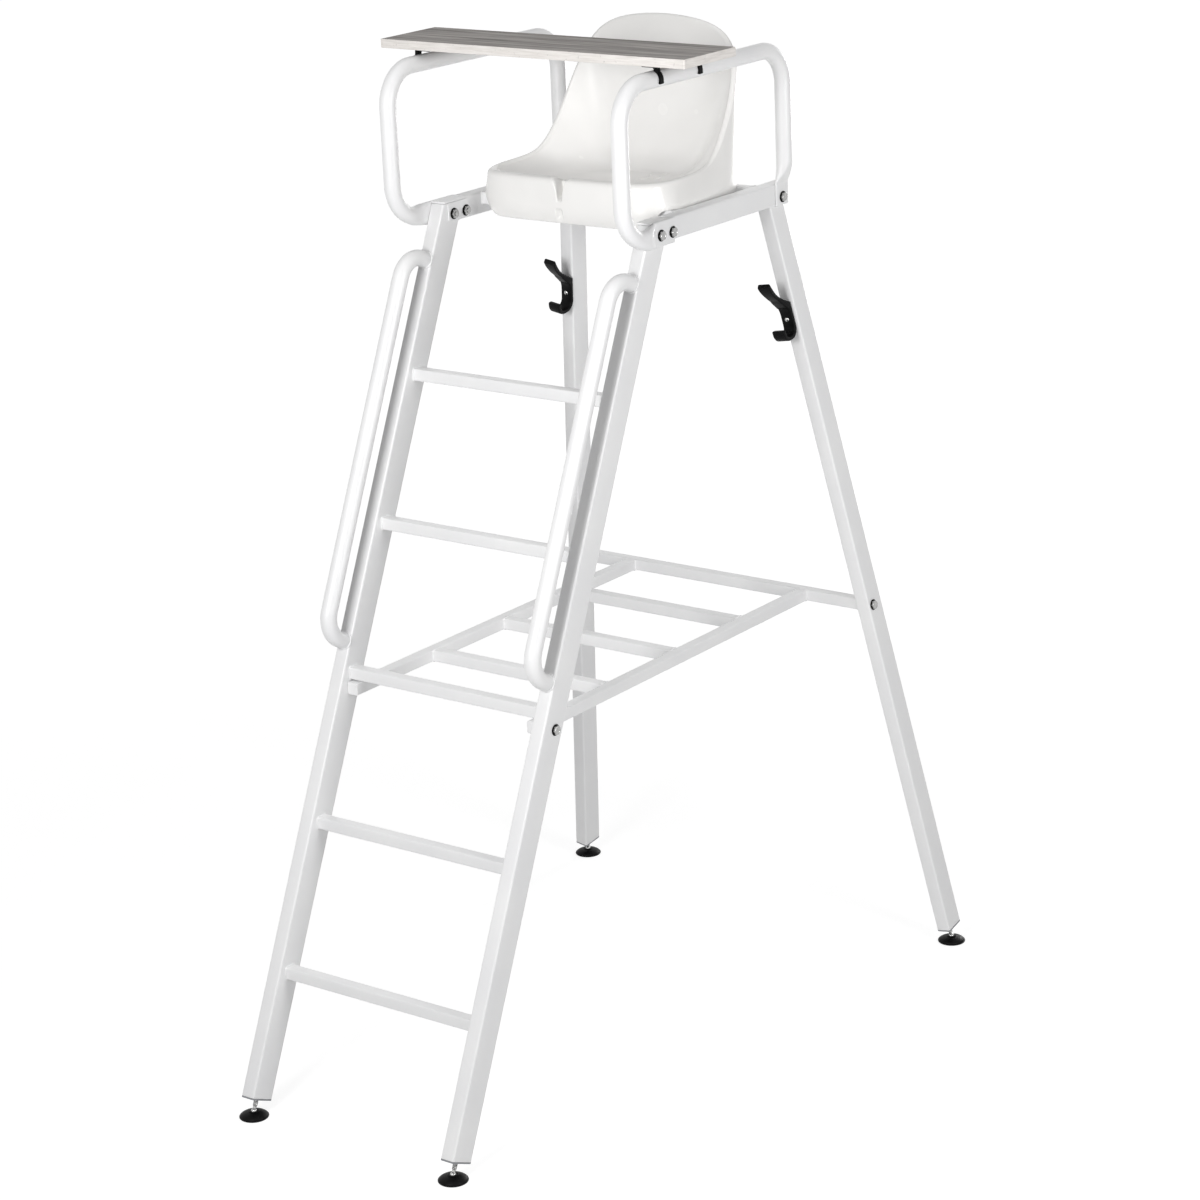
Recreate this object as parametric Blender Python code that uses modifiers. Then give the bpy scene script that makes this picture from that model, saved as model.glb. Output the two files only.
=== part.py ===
"""Tennis umpire chair: a ladder-fronted tubular frame with a moulded bucket seat, two armrest loops,
a writing board, a luggage shelf, bag hooks and four levelling feet.

Metres, +Z up. The ladder faces -Y, X is across the chair and the floor is Z = 0.
"""

from math import atan2, cos, hypot, pi, radians, sin, sqrt

import bmesh
import bpy
from mathutils import Matrix, Vector

# Clearances between pieces that touch on the real chair, and round a pin in its hole
SEAT_GAP = 0.0003
HOLE_GAP = 0.0005

# Leg tubes: the ladder's are deeper than the rear ones, which are turned a little on their own axis
LEG_WIDTH = 0.032
LADDER_LEG_DEPTH = 0.060
REAR_LEG_DEPTH = 0.052
REAR_LEG_TURN = radians(3)
LEG_WALL = 0.002
LEG_CORNER = 0.004

# Stance: where the ball of each foot stands, and where the legs meet the seat frame
LADDER_WIDTH = 0.510
BASE_DEPTH = 1.465
REAR_FOOT_SPAN = 0.998
FRAME_TOP = 1.724
FRONT_TOP_Y = 0.036
REAR_TOP_Y = 0.449
REAR_TOP_INSET = 0.004

# Levelling feet
BALL_HEIGHT = 0.012
BALL_RADIUS = 0.0065
NECK_RADIUS = 0.0035
NECK_LENGTH = 0.010
SPINDLE_RADIUS = 0.005
SPINDLE_LENGTH = 0.090
FOOT_REACH = 0.028
PAD_RADIUS = 0.030
PAD_EDGE = 0.004
PAD_HUB_RADIUS = 0.0105
PAD_HUB_RISE = 0.002
PAD_SHOULDER_RADIUS = 0.020
PAD_SHOULDER = 0.0098
CAP_THICKNESS = 0.003
CAP_PLUG = 0.018

# Seat frame
RAIL_HEIGHT = 0.045
RAIL_WALL = 0.002
RAIL_REAR_Y = 0.482
CROSS_RAIL = 0.025
CROSS_RAIL_DROP = 0.001
SQUARE_CORNER = 0.003
CROSS_RAIL_FRONT_Y = 0.1375
CROSS_RAIL_REAR_Y = 0.405
PLATE_LENGTH = 0.066
PLATE_HEIGHT = 0.036
PLATE_THICKNESS = 0.003
PLATE_FRONT_Y = 0.012

# Ladder rungs and handrails
RUNG_COUNT = 5
RUNG_SIZE = 0.025
RUNG_PITCH = 0.280
FIRST_RUNG = 0.275
RUNG_WALL = 0.002
HANDRAIL_DIAMETER = 0.0337
HANDRAIL_WALL = 0.002
HANDRAIL_STANDOFF = 0.065
HANDRAIL_START = 0.959
HANDRAIL_LENGTH = 0.783
HANDRAIL_BEND = 0.052

# Armrest loops
ARM_DIAMETER = 0.0337
ARM_WALL = 0.002
ARM_RISE = 0.302
ARM_OVERHANG = 0.0065
ARM_FRONT_Y = -0.104
ARM_REAR_Y = 0.458
ARM_BEND = 0.075
TAB_HEIGHT = 0.050
TAB_THICKNESS = 0.0046
TAB_SLIT = 0.0006
TAB_LENGTH = 0.066
TAB_MORPH = 0.044
TAB_INNER_MORPH = 0.045
TAB_CREASE = 1.5
TAB_MARGIN = 0.007
REAR_TAB_LENGTH = 0.048
REAR_TAB_WIDTH = 0.044

# Bolts of the frame
BOLT_RADIUS = 0.005
BOLT_ACROSS_FLATS = 0.016
BOLT_HEAD = 0.0048
NUT_HEIGHT = 0.005
WASHER_RADIUS = 0.0105
WASHER_THICKNESS = 0.0015
BOLT_TIP = 0.002
FRONT_BOLT_Y = 0.0285
BOLT_PITCH = 0.039
BOLT_DROP = 0.005

# Bucket seat
SEAT_WIDTH = 0.466
SEAT_FRONT_Y = 0.078
SEAT_REAR_Y = 0.456
SEAT_RAKE = -0.003
SEAT_TAPER = 0.018
SEAT_NARROWING = 0.016
NARROWING_FROM_Y = 0.180
SEAT_WALL = 0.004
SEAT_LIP = 0.053
SEAT_BACK = 0.331
SEAT_ARCH = 0.045
SEAT_DISH = 0.033
SEAT_LIP_ROLL = 0.013
SEAT_RIM = 0.006
LIP_REACH = 0.110
FRONT_BLUNTNESS = 4.5
TOP_BLUNTNESS = 6.3
FOOT_BLUNTNESS = 4.0
APRON_DROP = 0.038
APRON_BLEND_Y = 0.105
APRON_FULL_Y = 0.087
BACK_RISE_Y = 0.292
BACK_RISE_SOFTNESS = 0.045
BACK_RISE_POWER = 1.4
DISH_REACH = 0.52
DISH_POWER = 2.2
GROOVE_WIDTH = 0.036
GROOVE_FOOT = 0.008
GROOVE_LENGTH = 0.046
GROOVE_DEPTH = 0.010
GROOVE_DIP = 0.012
GROOVE_COLUMNS = (0.16, 0.31, 0.45, 0.65)
SEAT_SEGMENTS = 48
CORNER_WEIGHT = 0.06

# Writing board and its clips
BOARD_WIDTH = 0.740
BOARD_DEPTH = 0.175
BOARD_THICKNESS = 0.018
BOARD_CENTRE_Y = 0.077
BOARD_EDGE = 0.0015
CLIP_WIDTH = 0.012
CLIP_STRAP = 0.0038
CLIP_PAD = 0.010
CLIP_FLANGE = 0.022
CLIP_INSET = 0.022
CLIP_WRAP = radians(38)

# Luggage shelf
SHELF_TUBE = 0.025
SHELF_WALL = 0.002
SHELF_HEIGHT = 0.8065
SHELF_BAR_REACH = 0.009
SHELF_FIRST_CROSS = 0.255
SHELF_REAR_OFFSET = 0.010
SHELF_CROSS_COUNT = 3
SHELF_BOLT_INSET = 0.015
SHELF_BOLT_REACH = 0.010

# Bag hooks on the rear legs
HOOK_FROM_TOP = 0.274
HOOK_INSET = 0.0045
HOOK_WIDTH = 0.028
HOOK_TIP_WIDTH = 0.029
HOOK_NECK_WIDTH = 0.024
HOOK_CORNER = 0.0015
HOOK_THICKNESS = 0.008
HOOK_TIP_THICKNESS = 0.010
HOOK_SHOULDER_THICKNESS = 0.0092
HOOK_BODY = 0.0715
HOOK_LOWER_REACH = 0.050
HOOK_LOWER_RISE = 0.026
HOOK_UPPER_REACH = 0.061
HOOK_UPPER_RISE = 0.0575
HOOK_SCREW_ALONG = 0.038
SCREW_RADIUS = 0.0025
SCREW_HEAD_RADIUS = 0.005
SCREW_HEAD = 0.0028

# Facets
CORNER_STEPS = 2
ARM_SIDES = 12
HOLE_SIDES = 12
BEND_STEPS = 4
TURN_STEPS = 16

# Sizes that follow from the ones above
RAIL_X = LADDER_WIDTH / 2
INNER_X = RAIL_X - LEG_WIDTH / 2
OUTER_X = RAIL_X + LEG_WIDTH / 2
RAIL_BOTTOM = FRAME_TOP - RAIL_HEIGHT
RAIL_MIDDLE = FRAME_TOP - RAIL_HEIGHT / 2
BOLT_Z = RAIL_MIDDLE - BOLT_DROP
ARM_RADIUS = ARM_DIAMETER / 2
ARM_X = OUTER_X + SEAT_GAP + ARM_RADIUS - ARM_OVERHANG
TAB_X = OUTER_X + SEAT_GAP + TAB_THICKNESS / 2
ARM_BOTTOM = FRAME_TOP - TAB_HEIGHT / 2
ARM_TOP = ARM_BOTTOM + ARM_RISE
PLATE_X = INNER_X - SEAT_GAP - PLATE_THICKNESS / 2
BOARD_BOTTOM = ARM_TOP + ARM_RADIUS + CLIP_PAD + SEAT_GAP
HINGE_SIDES = (("left", -1), ("right", 1))


def clear_scene():
    for item in list(bpy.data.objects):
        bpy.data.objects.remove(item, do_unlink=True)


def srgb(code):
    """Linear RGBA of a six-figure sRGB hex code."""
    channels = [int(code[i:i + 2], 16) / 255 for i in (0, 2, 4)]
    linear = [c / 12.92 if c <= 0.04045 else ((c + 0.055) / 1.055) ** 2.4 for c in channels]
    return (*linear, 1.0)


def finish(name, code, roughness, metallic=0.0):
    """A plain finish for one sub-part."""
    material = bpy.data.materials.new(name)
    material.use_nodes = True
    shader = material.node_tree.nodes["Principled BSDF"]
    shader.inputs["Base Color"].default_value = srgb(code)
    shader.inputs["Roughness"].default_value = roughness
    shader.inputs["Metallic"].default_value = metallic
    return material


def white_coat(name):
    return finish(name + "_coat", "E4E5E8", 0.35)


def black_plastic(name):
    return finish(name + "_plastic", "1A1A1B", 0.5)


def bright_steel(name):
    return finish(name + "_steel", "B9B7B2", 0.3, 1.0)


def collection(name):
    group = bpy.data.collections.new(name)
    bpy.context.scene.collection.children.link(group)
    return group


def add_mesh(name, mesh, material, smooth_angle=radians(35)):
    """Put a mesh into the chair as one named sub-part."""
    mesh.name = name
    if material:
        mesh.materials.clear()
        mesh.materials.append(material)
    mesh.shade_smooth()
    mesh.set_sharp_from_angle(angle=smooth_angle)
    item = bpy.data.objects.new(name, mesh)
    CHAIR.objects.link(item)
    return item


def mesh_from(build):
    """The mesh of a bmesh, which is freed."""
    mesh = bpy.data.meshes.new("shape")
    bmesh.ops.recalc_face_normals(build, faces=build.faces)
    build.to_mesh(mesh)
    build.free()
    return mesh


def cutter(name, mesh):
    """A wire-drawn tool body that is only there to be subtracted."""
    item = bpy.data.objects.new(name, mesh)
    item.display_type = "WIRE"
    item.hide_render = True
    CUTTERS.objects.link(item)
    return item


def cut(target, tool):
    step = target.modifiers.new("cut_" + tool.name, "BOOLEAN")
    step.operation = "DIFFERENCE"
    step.object = tool


def bevel(target, width, segments=2):
    step = target.modifiers.new("edges", "BEVEL")
    step.width = width
    step.segments = segments
    step.limit_method = "ANGLE"


def box_mesh(size):
    build = bmesh.new()
    bmesh.ops.create_cube(build, size=1.0, matrix=Matrix.Diagonal((*size, 1.0)))
    return mesh_from(build)


def cylinder_mesh(radius, length):
    build = bmesh.new()
    bmesh.ops.create_cone(build, cap_ends=True, segments=HOLE_SIDES, radius1=radius, radius2=radius,
                          depth=length)
    return mesh_from(build)


def axes_at(origin, x_axis, y_axis, z_axis):
    """A placing matrix from an origin and three unit axes."""
    turn = Matrix((x_axis, y_axis, z_axis)).transposed().to_4x4()
    return Matrix.Translation(origin) @ turn


ALONG_X = Matrix.Rotation(pi / 2, 4, "Y")
ALONG_Y = Matrix.Rotation(-pi / 2, 4, "X")


def rounded_rectangle(width, depth, corner, steps=CORNER_STEPS):
    """Outline points of a rectangle with arcs at its corners, anticlockwise."""
    points = []
    for quarter, (sx, sy) in enumerate(((1, 1), (-1, 1), (-1, -1), (1, -1))):
        centre = (sx * (width / 2 - corner), sy * (depth / 2 - corner))
        for step in range(steps + 1):
            angle = (quarter + step / steps) * pi / 2
            points.append((centre[0] + corner * cos(angle), centre[1] + corner * sin(angle)))
    return points


def flat_outline(name, outline, thickness, fill="BOTH"):
    """Mesh of a closed outline in the XY plane, thickened evenly about it; unfilled it is a bare sleeve."""
    curve = bpy.data.curves.new(name, "CURVE")
    curve.dimensions = "2D"
    curve.fill_mode = fill
    curve.extrude = thickness / 2
    spline = curve.splines.new("POLY")
    spline.points.add(len(outline) - 1)
    spline.use_cyclic_u = True
    for point, (x, y) in zip(spline.points, outline):
        point.co = (x, y, 0.0, 1.0)
    return solid_from_curve(curve)


def solid_from_curve(curve):
    """A welded mesh of what a curve draws; the curve itself is dropped."""
    drawn = bpy.data.objects.new("drawn", curve)
    bpy.context.scene.collection.objects.link(drawn)
    shape = drawn.evaluated_get(bpy.context.evaluated_depsgraph_get())
    mesh = bpy.data.meshes.new_from_object(shape)
    bpy.data.objects.remove(drawn, do_unlink=True)
    build = bmesh.new()
    build.from_mesh(mesh)
    bmesh.ops.remove_doubles(build, verts=build.verts, dist=1e-6)
    bpy.data.meshes.remove(mesh)
    return mesh_from(build)


def tube(name, outline, length, wall, place):
    """Straight tube along the Z of a placing matrix, open at both ends, its wall inside the outline."""
    item = add_mesh(name, flat_outline(name, outline, length, "NONE"), white_coat(name))
    item.matrix_world = place
    thicken(item, wall)
    return item


def thicken(item, wall):
    """Give an open surface its wall, on the inner side."""
    step = item.modifiers.new("wall", "SOLIDIFY")
    step.thickness = wall
    step.offset = -1.0
    step.use_even_offset = True


def loft(rings, inner_rings=None):
    """Skin through rings of equal point counts; with inner rings the body is an open-ended tube."""
    build = bmesh.new()

    def skin(loops):
        rows = [[build.verts.new(point) for point in ring] for ring in loops]
        for row, following in zip(rows, rows[1:]):
            for i in range(len(row)):
                j = (i + 1) % len(row)
                build.faces.new((row[i], row[j], following[j], following[i]))
        return rows

    outer = skin(rings)
    if inner_rings:
        inner = skin(inner_rings)
        for ends in ((outer[0], inner[0]), (outer[-1], inner[-1])):
            for i in range(len(ends[0])):
                j = (i + 1) % len(ends[0])
                build.faces.new((ends[0][i], ends[0][j], ends[1][j], ends[1][i]))
    else:
        build.faces.new(outer[0])
        build.faces.new(outer[-1])
    return mesh_from(build)


def turned(name, profile, material):
    """Body of revolution about Z from (radius, height) points that run down its outer side."""
    mesh = bpy.data.meshes.new(name)
    points = [(radius, 0.0, height) for radius, height in profile]
    mesh.from_pydata(points, [(i, i + 1) for i in range(len(points) - 1)], [])
    item = add_mesh(name, mesh, material)
    step = item.modifiers.new("turn", "SCREW")
    step.steps = TURN_STEPS
    step.render_steps = TURN_STEPS
    step.use_merge_vertices = True
    step.merge_threshold = 1e-5
    step.use_smooth_shade = True
    return item


def arc(centre, radius, start, end, steps):
    """Points on an arc in a plane, both ends included."""
    turns = [start + (end - start) * i / steps for i in range(steps + 1)]
    return [(centre[0] + radius * cos(t), centre[1] + radius * sin(t)) for t in turns]


def circle(radius, sides):
    return arc((0, 0), radius, 0, 2 * pi, sides)[:-1]


class Leg:
    """Line and axes of one leg: x across, y front to back, z up along the tube."""

    def __init__(self, ball, top, depth, turn=0.0):
        self.ball = Vector(ball)
        self.depth = depth
        self.z = (Vector(top) - self.ball).normalized()
        across = Vector((cos(turn), sin(turn), 0.0))
        self.x = (across - self.z * across.dot(self.z)).normalized()
        self.y = self.z.cross(self.x)
        self.length = (Vector(top) - self.ball).length
        self.matrix = axes_at(self.ball, self.x, self.y, self.z)

    def at_height(self, z):
        """Point of the axis at a height above the floor."""
        return self.ball + self.z * ((z - self.ball.z) / self.z.z)

    def place(self, x, y, z):
        """World point from the leg's own coordinates."""
        return self.matrix @ Vector((x, y, z))


def front_leg_line(side):
    ball = (side * RAIL_X, -BASE_DEPTH / 2, BALL_HEIGHT)
    return Leg(ball, (side * RAIL_X, FRONT_TOP_Y, FRAME_TOP), LADDER_LEG_DEPTH)


def rear_leg_line(side):
    ball = (side * REAR_FOOT_SPAN / 2, BASE_DEPTH / 2, BALL_HEIGHT)
    top = (side * (RAIL_X - REAR_TOP_INSET), REAR_TOP_Y, RAIL_BOTTOM - SEAT_GAP)
    return Leg(ball, top, REAR_LEG_DEPTH, side * REAR_LEG_TURN)


def level_cutter(name, height):
    """Everything above a height, for a leg top that is sawn level."""
    size = 8 * LADDER_LEG_DEPTH
    tool = cutter(name, box_mesh((size, size, size)))
    tool.location.z = height + size / 2
    return tool


def leg_envelope(name, line):
    """The space that a leg fills, with its clearance, to saw other tubes against."""
    size = (LEG_WIDTH + 2 * SEAT_GAP, line.depth + 2 * SEAT_GAP, 2 * (line.length + line.depth))
    tool = cutter(name, box_mesh(size))
    tool.matrix_world = line.matrix
    return tool


def hole(name, place, radius, length):
    """A drilled hole along the Z of a placing matrix, centred on it."""
    tool = cutter(name, cylinder_mesh(radius, length))
    tool.matrix_world = place
    return tool


def make_leg(name, line, cut_height, holes):
    """Rectangular tube along its line, square at the foot and level at the top."""
    spare = line.depth
    length = line.length + spare - FOOT_REACH
    section = rounded_rectangle(LEG_WIDTH, line.depth, LEG_CORNER)
    middle = Matrix.Translation((0, 0, FOOT_REACH + length / 2))
    item = tube(name, section, length, LEG_WALL, line.matrix @ middle)
    top = level_cutter(name + "_saw", cut_height)
    top.location.x = line.at_height(cut_height).x
    top.location.y = line.at_height(cut_height).y
    cut(item, top)
    for tool in holes:
        cut(item, tool)
    return item


def make_end_cap(name, line):
    """Grey plug in the tube's foot, with a flange as wide as the tube and a hole for the spindle."""
    play = 2 * (LEG_WALL + SEAT_GAP)
    flange = rounded_rectangle(LEG_WIDTH, line.depth, LEG_CORNER)
    plug = rounded_rectangle(LEG_WIDTH - play, line.depth - play, LEG_CORNER - LEG_WALL)
    base = FOOT_REACH - SEAT_GAP - CAP_THICKNESS
    heights = (base, base + CAP_THICKNESS, base + CAP_THICKNESS, base + CAP_THICKNESS + CAP_PLUG)
    rings = [[(x, y, z) for x, y in shape] for shape, z in zip((flange, flange, plug, plug), heights)]
    item = add_mesh(name, loft(rings), finish(name + "_plastic", "9A9CA0", 0.6))
    item.matrix_world = line.matrix
    middle = Matrix.Translation((0, 0, base + (CAP_THICKNESS + CAP_PLUG) / 2))
    bore = hole(name + "_bore", line.matrix @ middle, SPINDLE_RADIUS + HOLE_GAP, 2 * CAP_PLUG)
    cut(item, bore)
    return item


def make_spindle(name, line):
    """Threaded foot spindle with a ball end, on the leg's own axis."""
    shoulder = NECK_LENGTH + SPINDLE_RADIUS - NECK_RADIUS
    ball_exit = sqrt(BALL_RADIUS ** 2 - NECK_RADIUS ** 2)
    profile = [(0.0, SPINDLE_LENGTH), (SPINDLE_RADIUS, SPINDLE_LENGTH), (SPINDLE_RADIUS, shoulder),
               (NECK_RADIUS, NECK_LENGTH)]
    start = atan2(ball_exit, NECK_RADIUS)
    profile += arc((0.0, 0.0), BALL_RADIUS, start, -pi / 2, 5)
    profile[-1] = (0.0, -BALL_RADIUS)
    item = turned(name, profile, bright_steel(name))
    item.matrix_world = line.matrix
    return item


def make_pad(name, line):
    """Dished swivel pad, flat on the floor, with a socket round the ball."""
    socket = BALL_RADIUS + SEAT_GAP
    mouth = atan2(PAD_HUB_RISE, sqrt(socket ** 2 - PAD_HUB_RISE ** 2))
    cup = arc((0.0, 0.0), socket, -pi / 2, mouth, 4)
    cup[0] = (0.0, -socket)
    floor = -BALL_HEIGHT
    dish = arc((PAD_RADIUS - PAD_EDGE / 2, floor + PAD_EDGE / 2), PAD_EDGE / 2, pi / 2, -pi / 2, 2)
    profile = cup + [(PAD_HUB_RADIUS, PAD_HUB_RISE), (PAD_SHOULDER_RADIUS, floor + PAD_SHOULDER)]
    profile += dish + [(0.0, floor)]
    item = turned(name, profile, black_plastic(name))
    item.location = line.ball
    return item


def make_rungs():
    reach = 2 * INNER_X - 2 * SEAT_GAP
    line = front_leg_line(1)
    for index in range(RUNG_COUNT):
        name = f"rung_{index + 1}"
        height = FIRST_RUNG + index * RUNG_PITCH
        place = Matrix.Translation((0, line.at_height(height).y, height)) @ ALONG_X
        make_square_bar(name, place, reach, RUNG_SIZE, RUNG_WALL)


def make_handrail(name, line):
    """Grab tube that stands off the front face of a ladder leg, with both ends bent onto it."""
    face = -line.depth / 2 - SEAT_GAP
    rail = face - HANDRAIL_STANDOFF
    low = HANDRAIL_START
    high = HANDRAIL_START + HANDRAIL_LENGTH
    path = [(face, low)]
    path += arc((rail + HANDRAIL_BEND, low + HANDRAIL_BEND), HANDRAIL_BEND, -pi / 2, -pi, BEND_STEPS)
    path += arc((rail + HANDRAIL_BEND, high - HANDRAIL_BEND), HANDRAIL_BEND, -pi, -1.5 * pi, BEND_STEPS)
    path += [(face, high)]
    curve = bpy.data.curves.new(name, "CURVE")
    curve.dimensions = "3D"
    curve.bevel_depth = HANDRAIL_DIAMETER / 2
    curve.bevel_resolution = 2
    spline = curve.splines.new("POLY")
    spline.points.add(len(path) - 1)
    for point, (y, z) in zip(spline.points, path):
        point.co = (0.0, y, z, 1.0)
    item = add_mesh(name, solid_from_curve(curve), white_coat(name))
    item.matrix_world = line.matrix
    thicken(item, HANDRAIL_WALL)
    return item


def squashed_ring(half_height, half_thickness, sides=ARM_SIDES):
    """Section of a tube that is round when its halves are equal and flattens to a stadium."""
    radius = min(half_height, half_thickness)
    stretch = max(half_height - radius, 0.0)
    points = []
    for i in range(sides):
        angle = 2 * pi * (i + 0.5) / sides
        shift = stretch if cos(angle) > 0 else -stretch
        points.append((radius * cos(angle) + shift, radius * sin(angle)))
    return points


def leg_face_y(height):
    """Where the front face of a ladder leg stands at a height."""
    line = front_leg_line(1)
    return line.at_height(height).y - line.depth / 2 / line.z.z


def armrest_path():
    """Stations of a loop: in-plane point, heading, how far its two sides are pressed, tab width."""
    stations = []
    tab_end = FRONT_BOLT_Y + BOLT_PITCH + TAB_MARGIN
    flat_from = tab_end - TAB_LENGTH
    leg_clear = leg_face_y(FRAME_TOP - TAB_HEIGHT) - HOLE_GAP
    foot = RAIL_BOTTOM + HOLE_GAP
    flat_top = foot + REAR_TAB_LENGTH

    def crease(t):
        return min(max(t, 0.0), 1.0) ** TAB_CREASE

    def front(y, z, heading):
        """The inner side is flat where it passes the leg, the outer side only at the tab's crease."""
        inner = smooth(1 + (y - leg_clear) / TAB_INNER_MORPH)
        outer = crease(1 + (y - flat_from) / TAB_MORPH)
        stations.append(((y, z), heading, inner, outer, TAB_HEIGHT))

    def rear(y, z, heading):
        along = 1 - (z - flat_top) / TAB_MORPH
        stations.append(((y, z), heading, smooth(along), crease(along), REAR_TAB_WIDTH))

    def bend(add, centre, start, end):
        for i in range(BEND_STEPS + 1):
            turn = start + (end - start) * i / BEND_STEPS
            add(centre[0] + ARM_BEND * cos(turn), centre[1] + ARM_BEND * sin(turn), turn - pi / 2)

    def level(y, z, heading):
        stations.append(((y, z), heading, 0.0, 0.0, TAB_HEIGHT))

    bend_y = ARM_FRONT_Y + ARM_BEND
    steps = 5
    front(tab_end, ARM_BOTTOM, pi)
    for i in range(steps):
        front(flat_from + (bend_y - flat_from) * i / steps, ARM_BOTTOM, pi)
    bend(front, (bend_y, ARM_BOTTOM + ARM_BEND), 1.5 * pi, pi)
    bend(level, (bend_y, ARM_TOP - ARM_BEND), pi, pi / 2)
    bend(level, (ARM_REAR_Y - ARM_BEND, ARM_TOP - ARM_BEND), pi / 2, 0.0)
    for i in range(steps):
        rear(ARM_REAR_Y, flat_top + TAB_MORPH * (1 - i / (steps - 1)), -pi / 2)
    rear(ARM_REAR_Y, foot, -pi / 2)
    return stations


def make_armrest(name, side, holes):
    """Round tube bent to a D, with both ends pressed flat against the seat frame and bolted."""
    rings = []
    bores = []
    flush = OUTER_X + SEAT_GAP
    for (y, z), heading, inner, outer, tab_width in armrest_path():
        inner_x = flush - ARM_OVERHANG * (1 - inner)
        outer_x = ARM_X + ARM_RADIUS + (flush + TAB_THICKNESS - ARM_X - ARM_RADIUS) * outer
        squash = (inner + outer) / 2
        x = (inner_x + outer_x) / 2
        half_thickness = (outer_x - inner_x) / 2
        half_height = ARM_RADIUS + (tab_width / 2 - ARM_RADIUS) * squash
        slit_height = half_height - ARM_WALL
        slit = half_thickness - ARM_WALL + (TAB_SLIT / 2 - TAB_THICKNESS / 2 + ARM_WALL) * outer
        normal = (cos(heading + pi / 2), sin(heading + pi / 2))

        def ring(height, thickness):
            return [(side * (x + v), y + normal[0] * u, z + normal[1] * u)
                    for u, v in squashed_ring(height, thickness)]

        rings.append(ring(half_height, half_thickness))
        bores.append(ring(slit_height, slit))
    item = add_mesh(name, loft(rings, bores), white_coat(name))
    for tool in holes:
        cut(item, tool)
    return item


def hexagon(across_flats):
    """Twelve points round a hexagon, corners and flat middles in turn."""
    points = []
    for i in range(12):
        angle = i * pi / 6
        radius = across_flats / sqrt(3) if i % 2 == 0 else across_flats / 2
        points.append((radius * cos(angle), radius * sin(angle)))
    return points


def make_bolt(name, place, grip, nut=True):
    """Hex bolt with its washer and nut as one body; the grip starts at the placing matrix, down -Z."""
    gap = SEAT_GAP
    disc = circle(WASHER_RADIUS, 12)
    shank = circle(BOLT_RADIUS, 12)
    six = hexagon(BOLT_ACROSS_FLATS)
    washer = gap + WASHER_THICKNESS
    stack = [(six, washer + BOLT_HEAD), (six, washer), (disc, washer), (disc, gap), (shank, gap)]
    under = -grip - gap
    if nut:
        nut_end = under - NUT_HEIGHT
        stack += [(shank, under), (six, under), (six, nut_end), (shank, nut_end)]
        stack += [(shank, nut_end - BOLT_TIP)]
    else:
        stack += [(shank, -grip)]
    rings = [[(x, y, z) for x, y in shape] for shape, z in stack]
    item = add_mesh(name, loft(rings), bright_steel(name))
    item.matrix_world = place
    return item


def facing(side):
    """Turn a bolt so that its head looks out at the given side."""
    return ALONG_X if side > 0 else Matrix.Rotation(-pi / 2, 4, "Y")


def bolt_hole(name, place, length):
    return hole(name, place, BOLT_RADIUS + HOLE_GAP, length)


def make_side_rail(name, side, envelope, holes):
    """Seat rail from the back of the ladder leg to the rear, along Y."""
    line = front_leg_line(side)
    start = line.at_height(RAIL_BOTTOM).y
    length = RAIL_REAR_Y - start
    place = Matrix.Translation((side * RAIL_X, start + length / 2, RAIL_MIDDLE)) @ ALONG_Y
    item = tube(name, rounded_rectangle(LEG_WIDTH, RAIL_HEIGHT, LEG_CORNER), length, RAIL_WALL, place)
    cut(item, envelope)
    for tool in holes:
        cut(item, tool)
    return item


def make_square_bar(name, place, length, size, wall, tools=()):
    """Square tube along the Z of a placing matrix."""
    item = tube(name, rounded_rectangle(size, size, SQUARE_CORNER), length, wall, place)
    for tool in tools:
        cut(item, tool)
    return item


def make_cross_rails():
    reach = 2 * INNER_X - 2 * SEAT_GAP
    height = FRAME_TOP - CROSS_RAIL_DROP - CROSS_RAIL / 2
    for name, y in (("front", CROSS_RAIL_FRONT_Y), ("rear", CROSS_RAIL_REAR_Y)):
        place = Matrix.Translation((0, y, height)) @ ALONG_X
        make_square_bar("seat_cross_rail_" + name, place, reach, CROSS_RAIL, RAIL_WALL)


def make_joint_plate(name, side, holes):
    item = add_mesh(name, box_mesh((PLATE_THICKNESS, PLATE_LENGTH, PLATE_HEIGHT)), white_coat(name))
    item.location = (side * PLATE_X, PLATE_FRONT_Y + PLATE_LENGTH / 2, RAIL_MIDDLE)
    for tool in holes:
        cut(item, tool)
    return item


def super_outline(half_width, front, rear, rear_bluntness, count):
    """Plan of the seat: blunt ellipse that narrows to the rear, from its front middle, closer at corners."""
    middle = (front + rear) / 2
    half_depth = (rear - front) / 2
    dense = []
    samples = 720
    for i in range(samples + 1):
        turn = -pi / 2 + 2 * pi * i / samples
        power = 2 / (FRONT_BLUNTNESS if sin(turn) < 0 else rear_bluntness)
        c = cos(turn)
        s = sin(turn)
        x = half_width * (abs(c) ** power) * (1 if c >= 0 else -1)
        y = middle + half_depth * (abs(s) ** power) * (1 if s >= 0 else -1)
        narrowing = SEAT_NARROWING * smooth((y - NARROWING_FROM_Y) / (rear - NARROWING_FROM_Y))
        dense.append(Vector((x * (1 - narrowing / half_width), y)))
    lengths = [0.0]
    last = 0.0
    for a, b in zip(dense, dense[1:]):
        heading = atan2(b.y - a.y, b.x - a.x)
        turned_by = abs((heading - last + pi) % (2 * pi) - pi)
        lengths.append(lengths[-1] + (b - a).length + CORNER_WEIGHT * turned_by)
        last = heading
    points = []
    k = 0
    for i in range(count):
        goal = lengths[-1] * i / count
        while lengths[k + 1] < goal:
            k += 1
        share = (goal - lengths[k]) / max(lengths[k + 1] - lengths[k], 1e-12)
        points.append(dense[k].lerp(dense[k + 1], share))
    return points


def smooth(t):
    t = min(max(t, 0.0), 1.0)
    return t * t * (3 - 2 * t)


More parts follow.
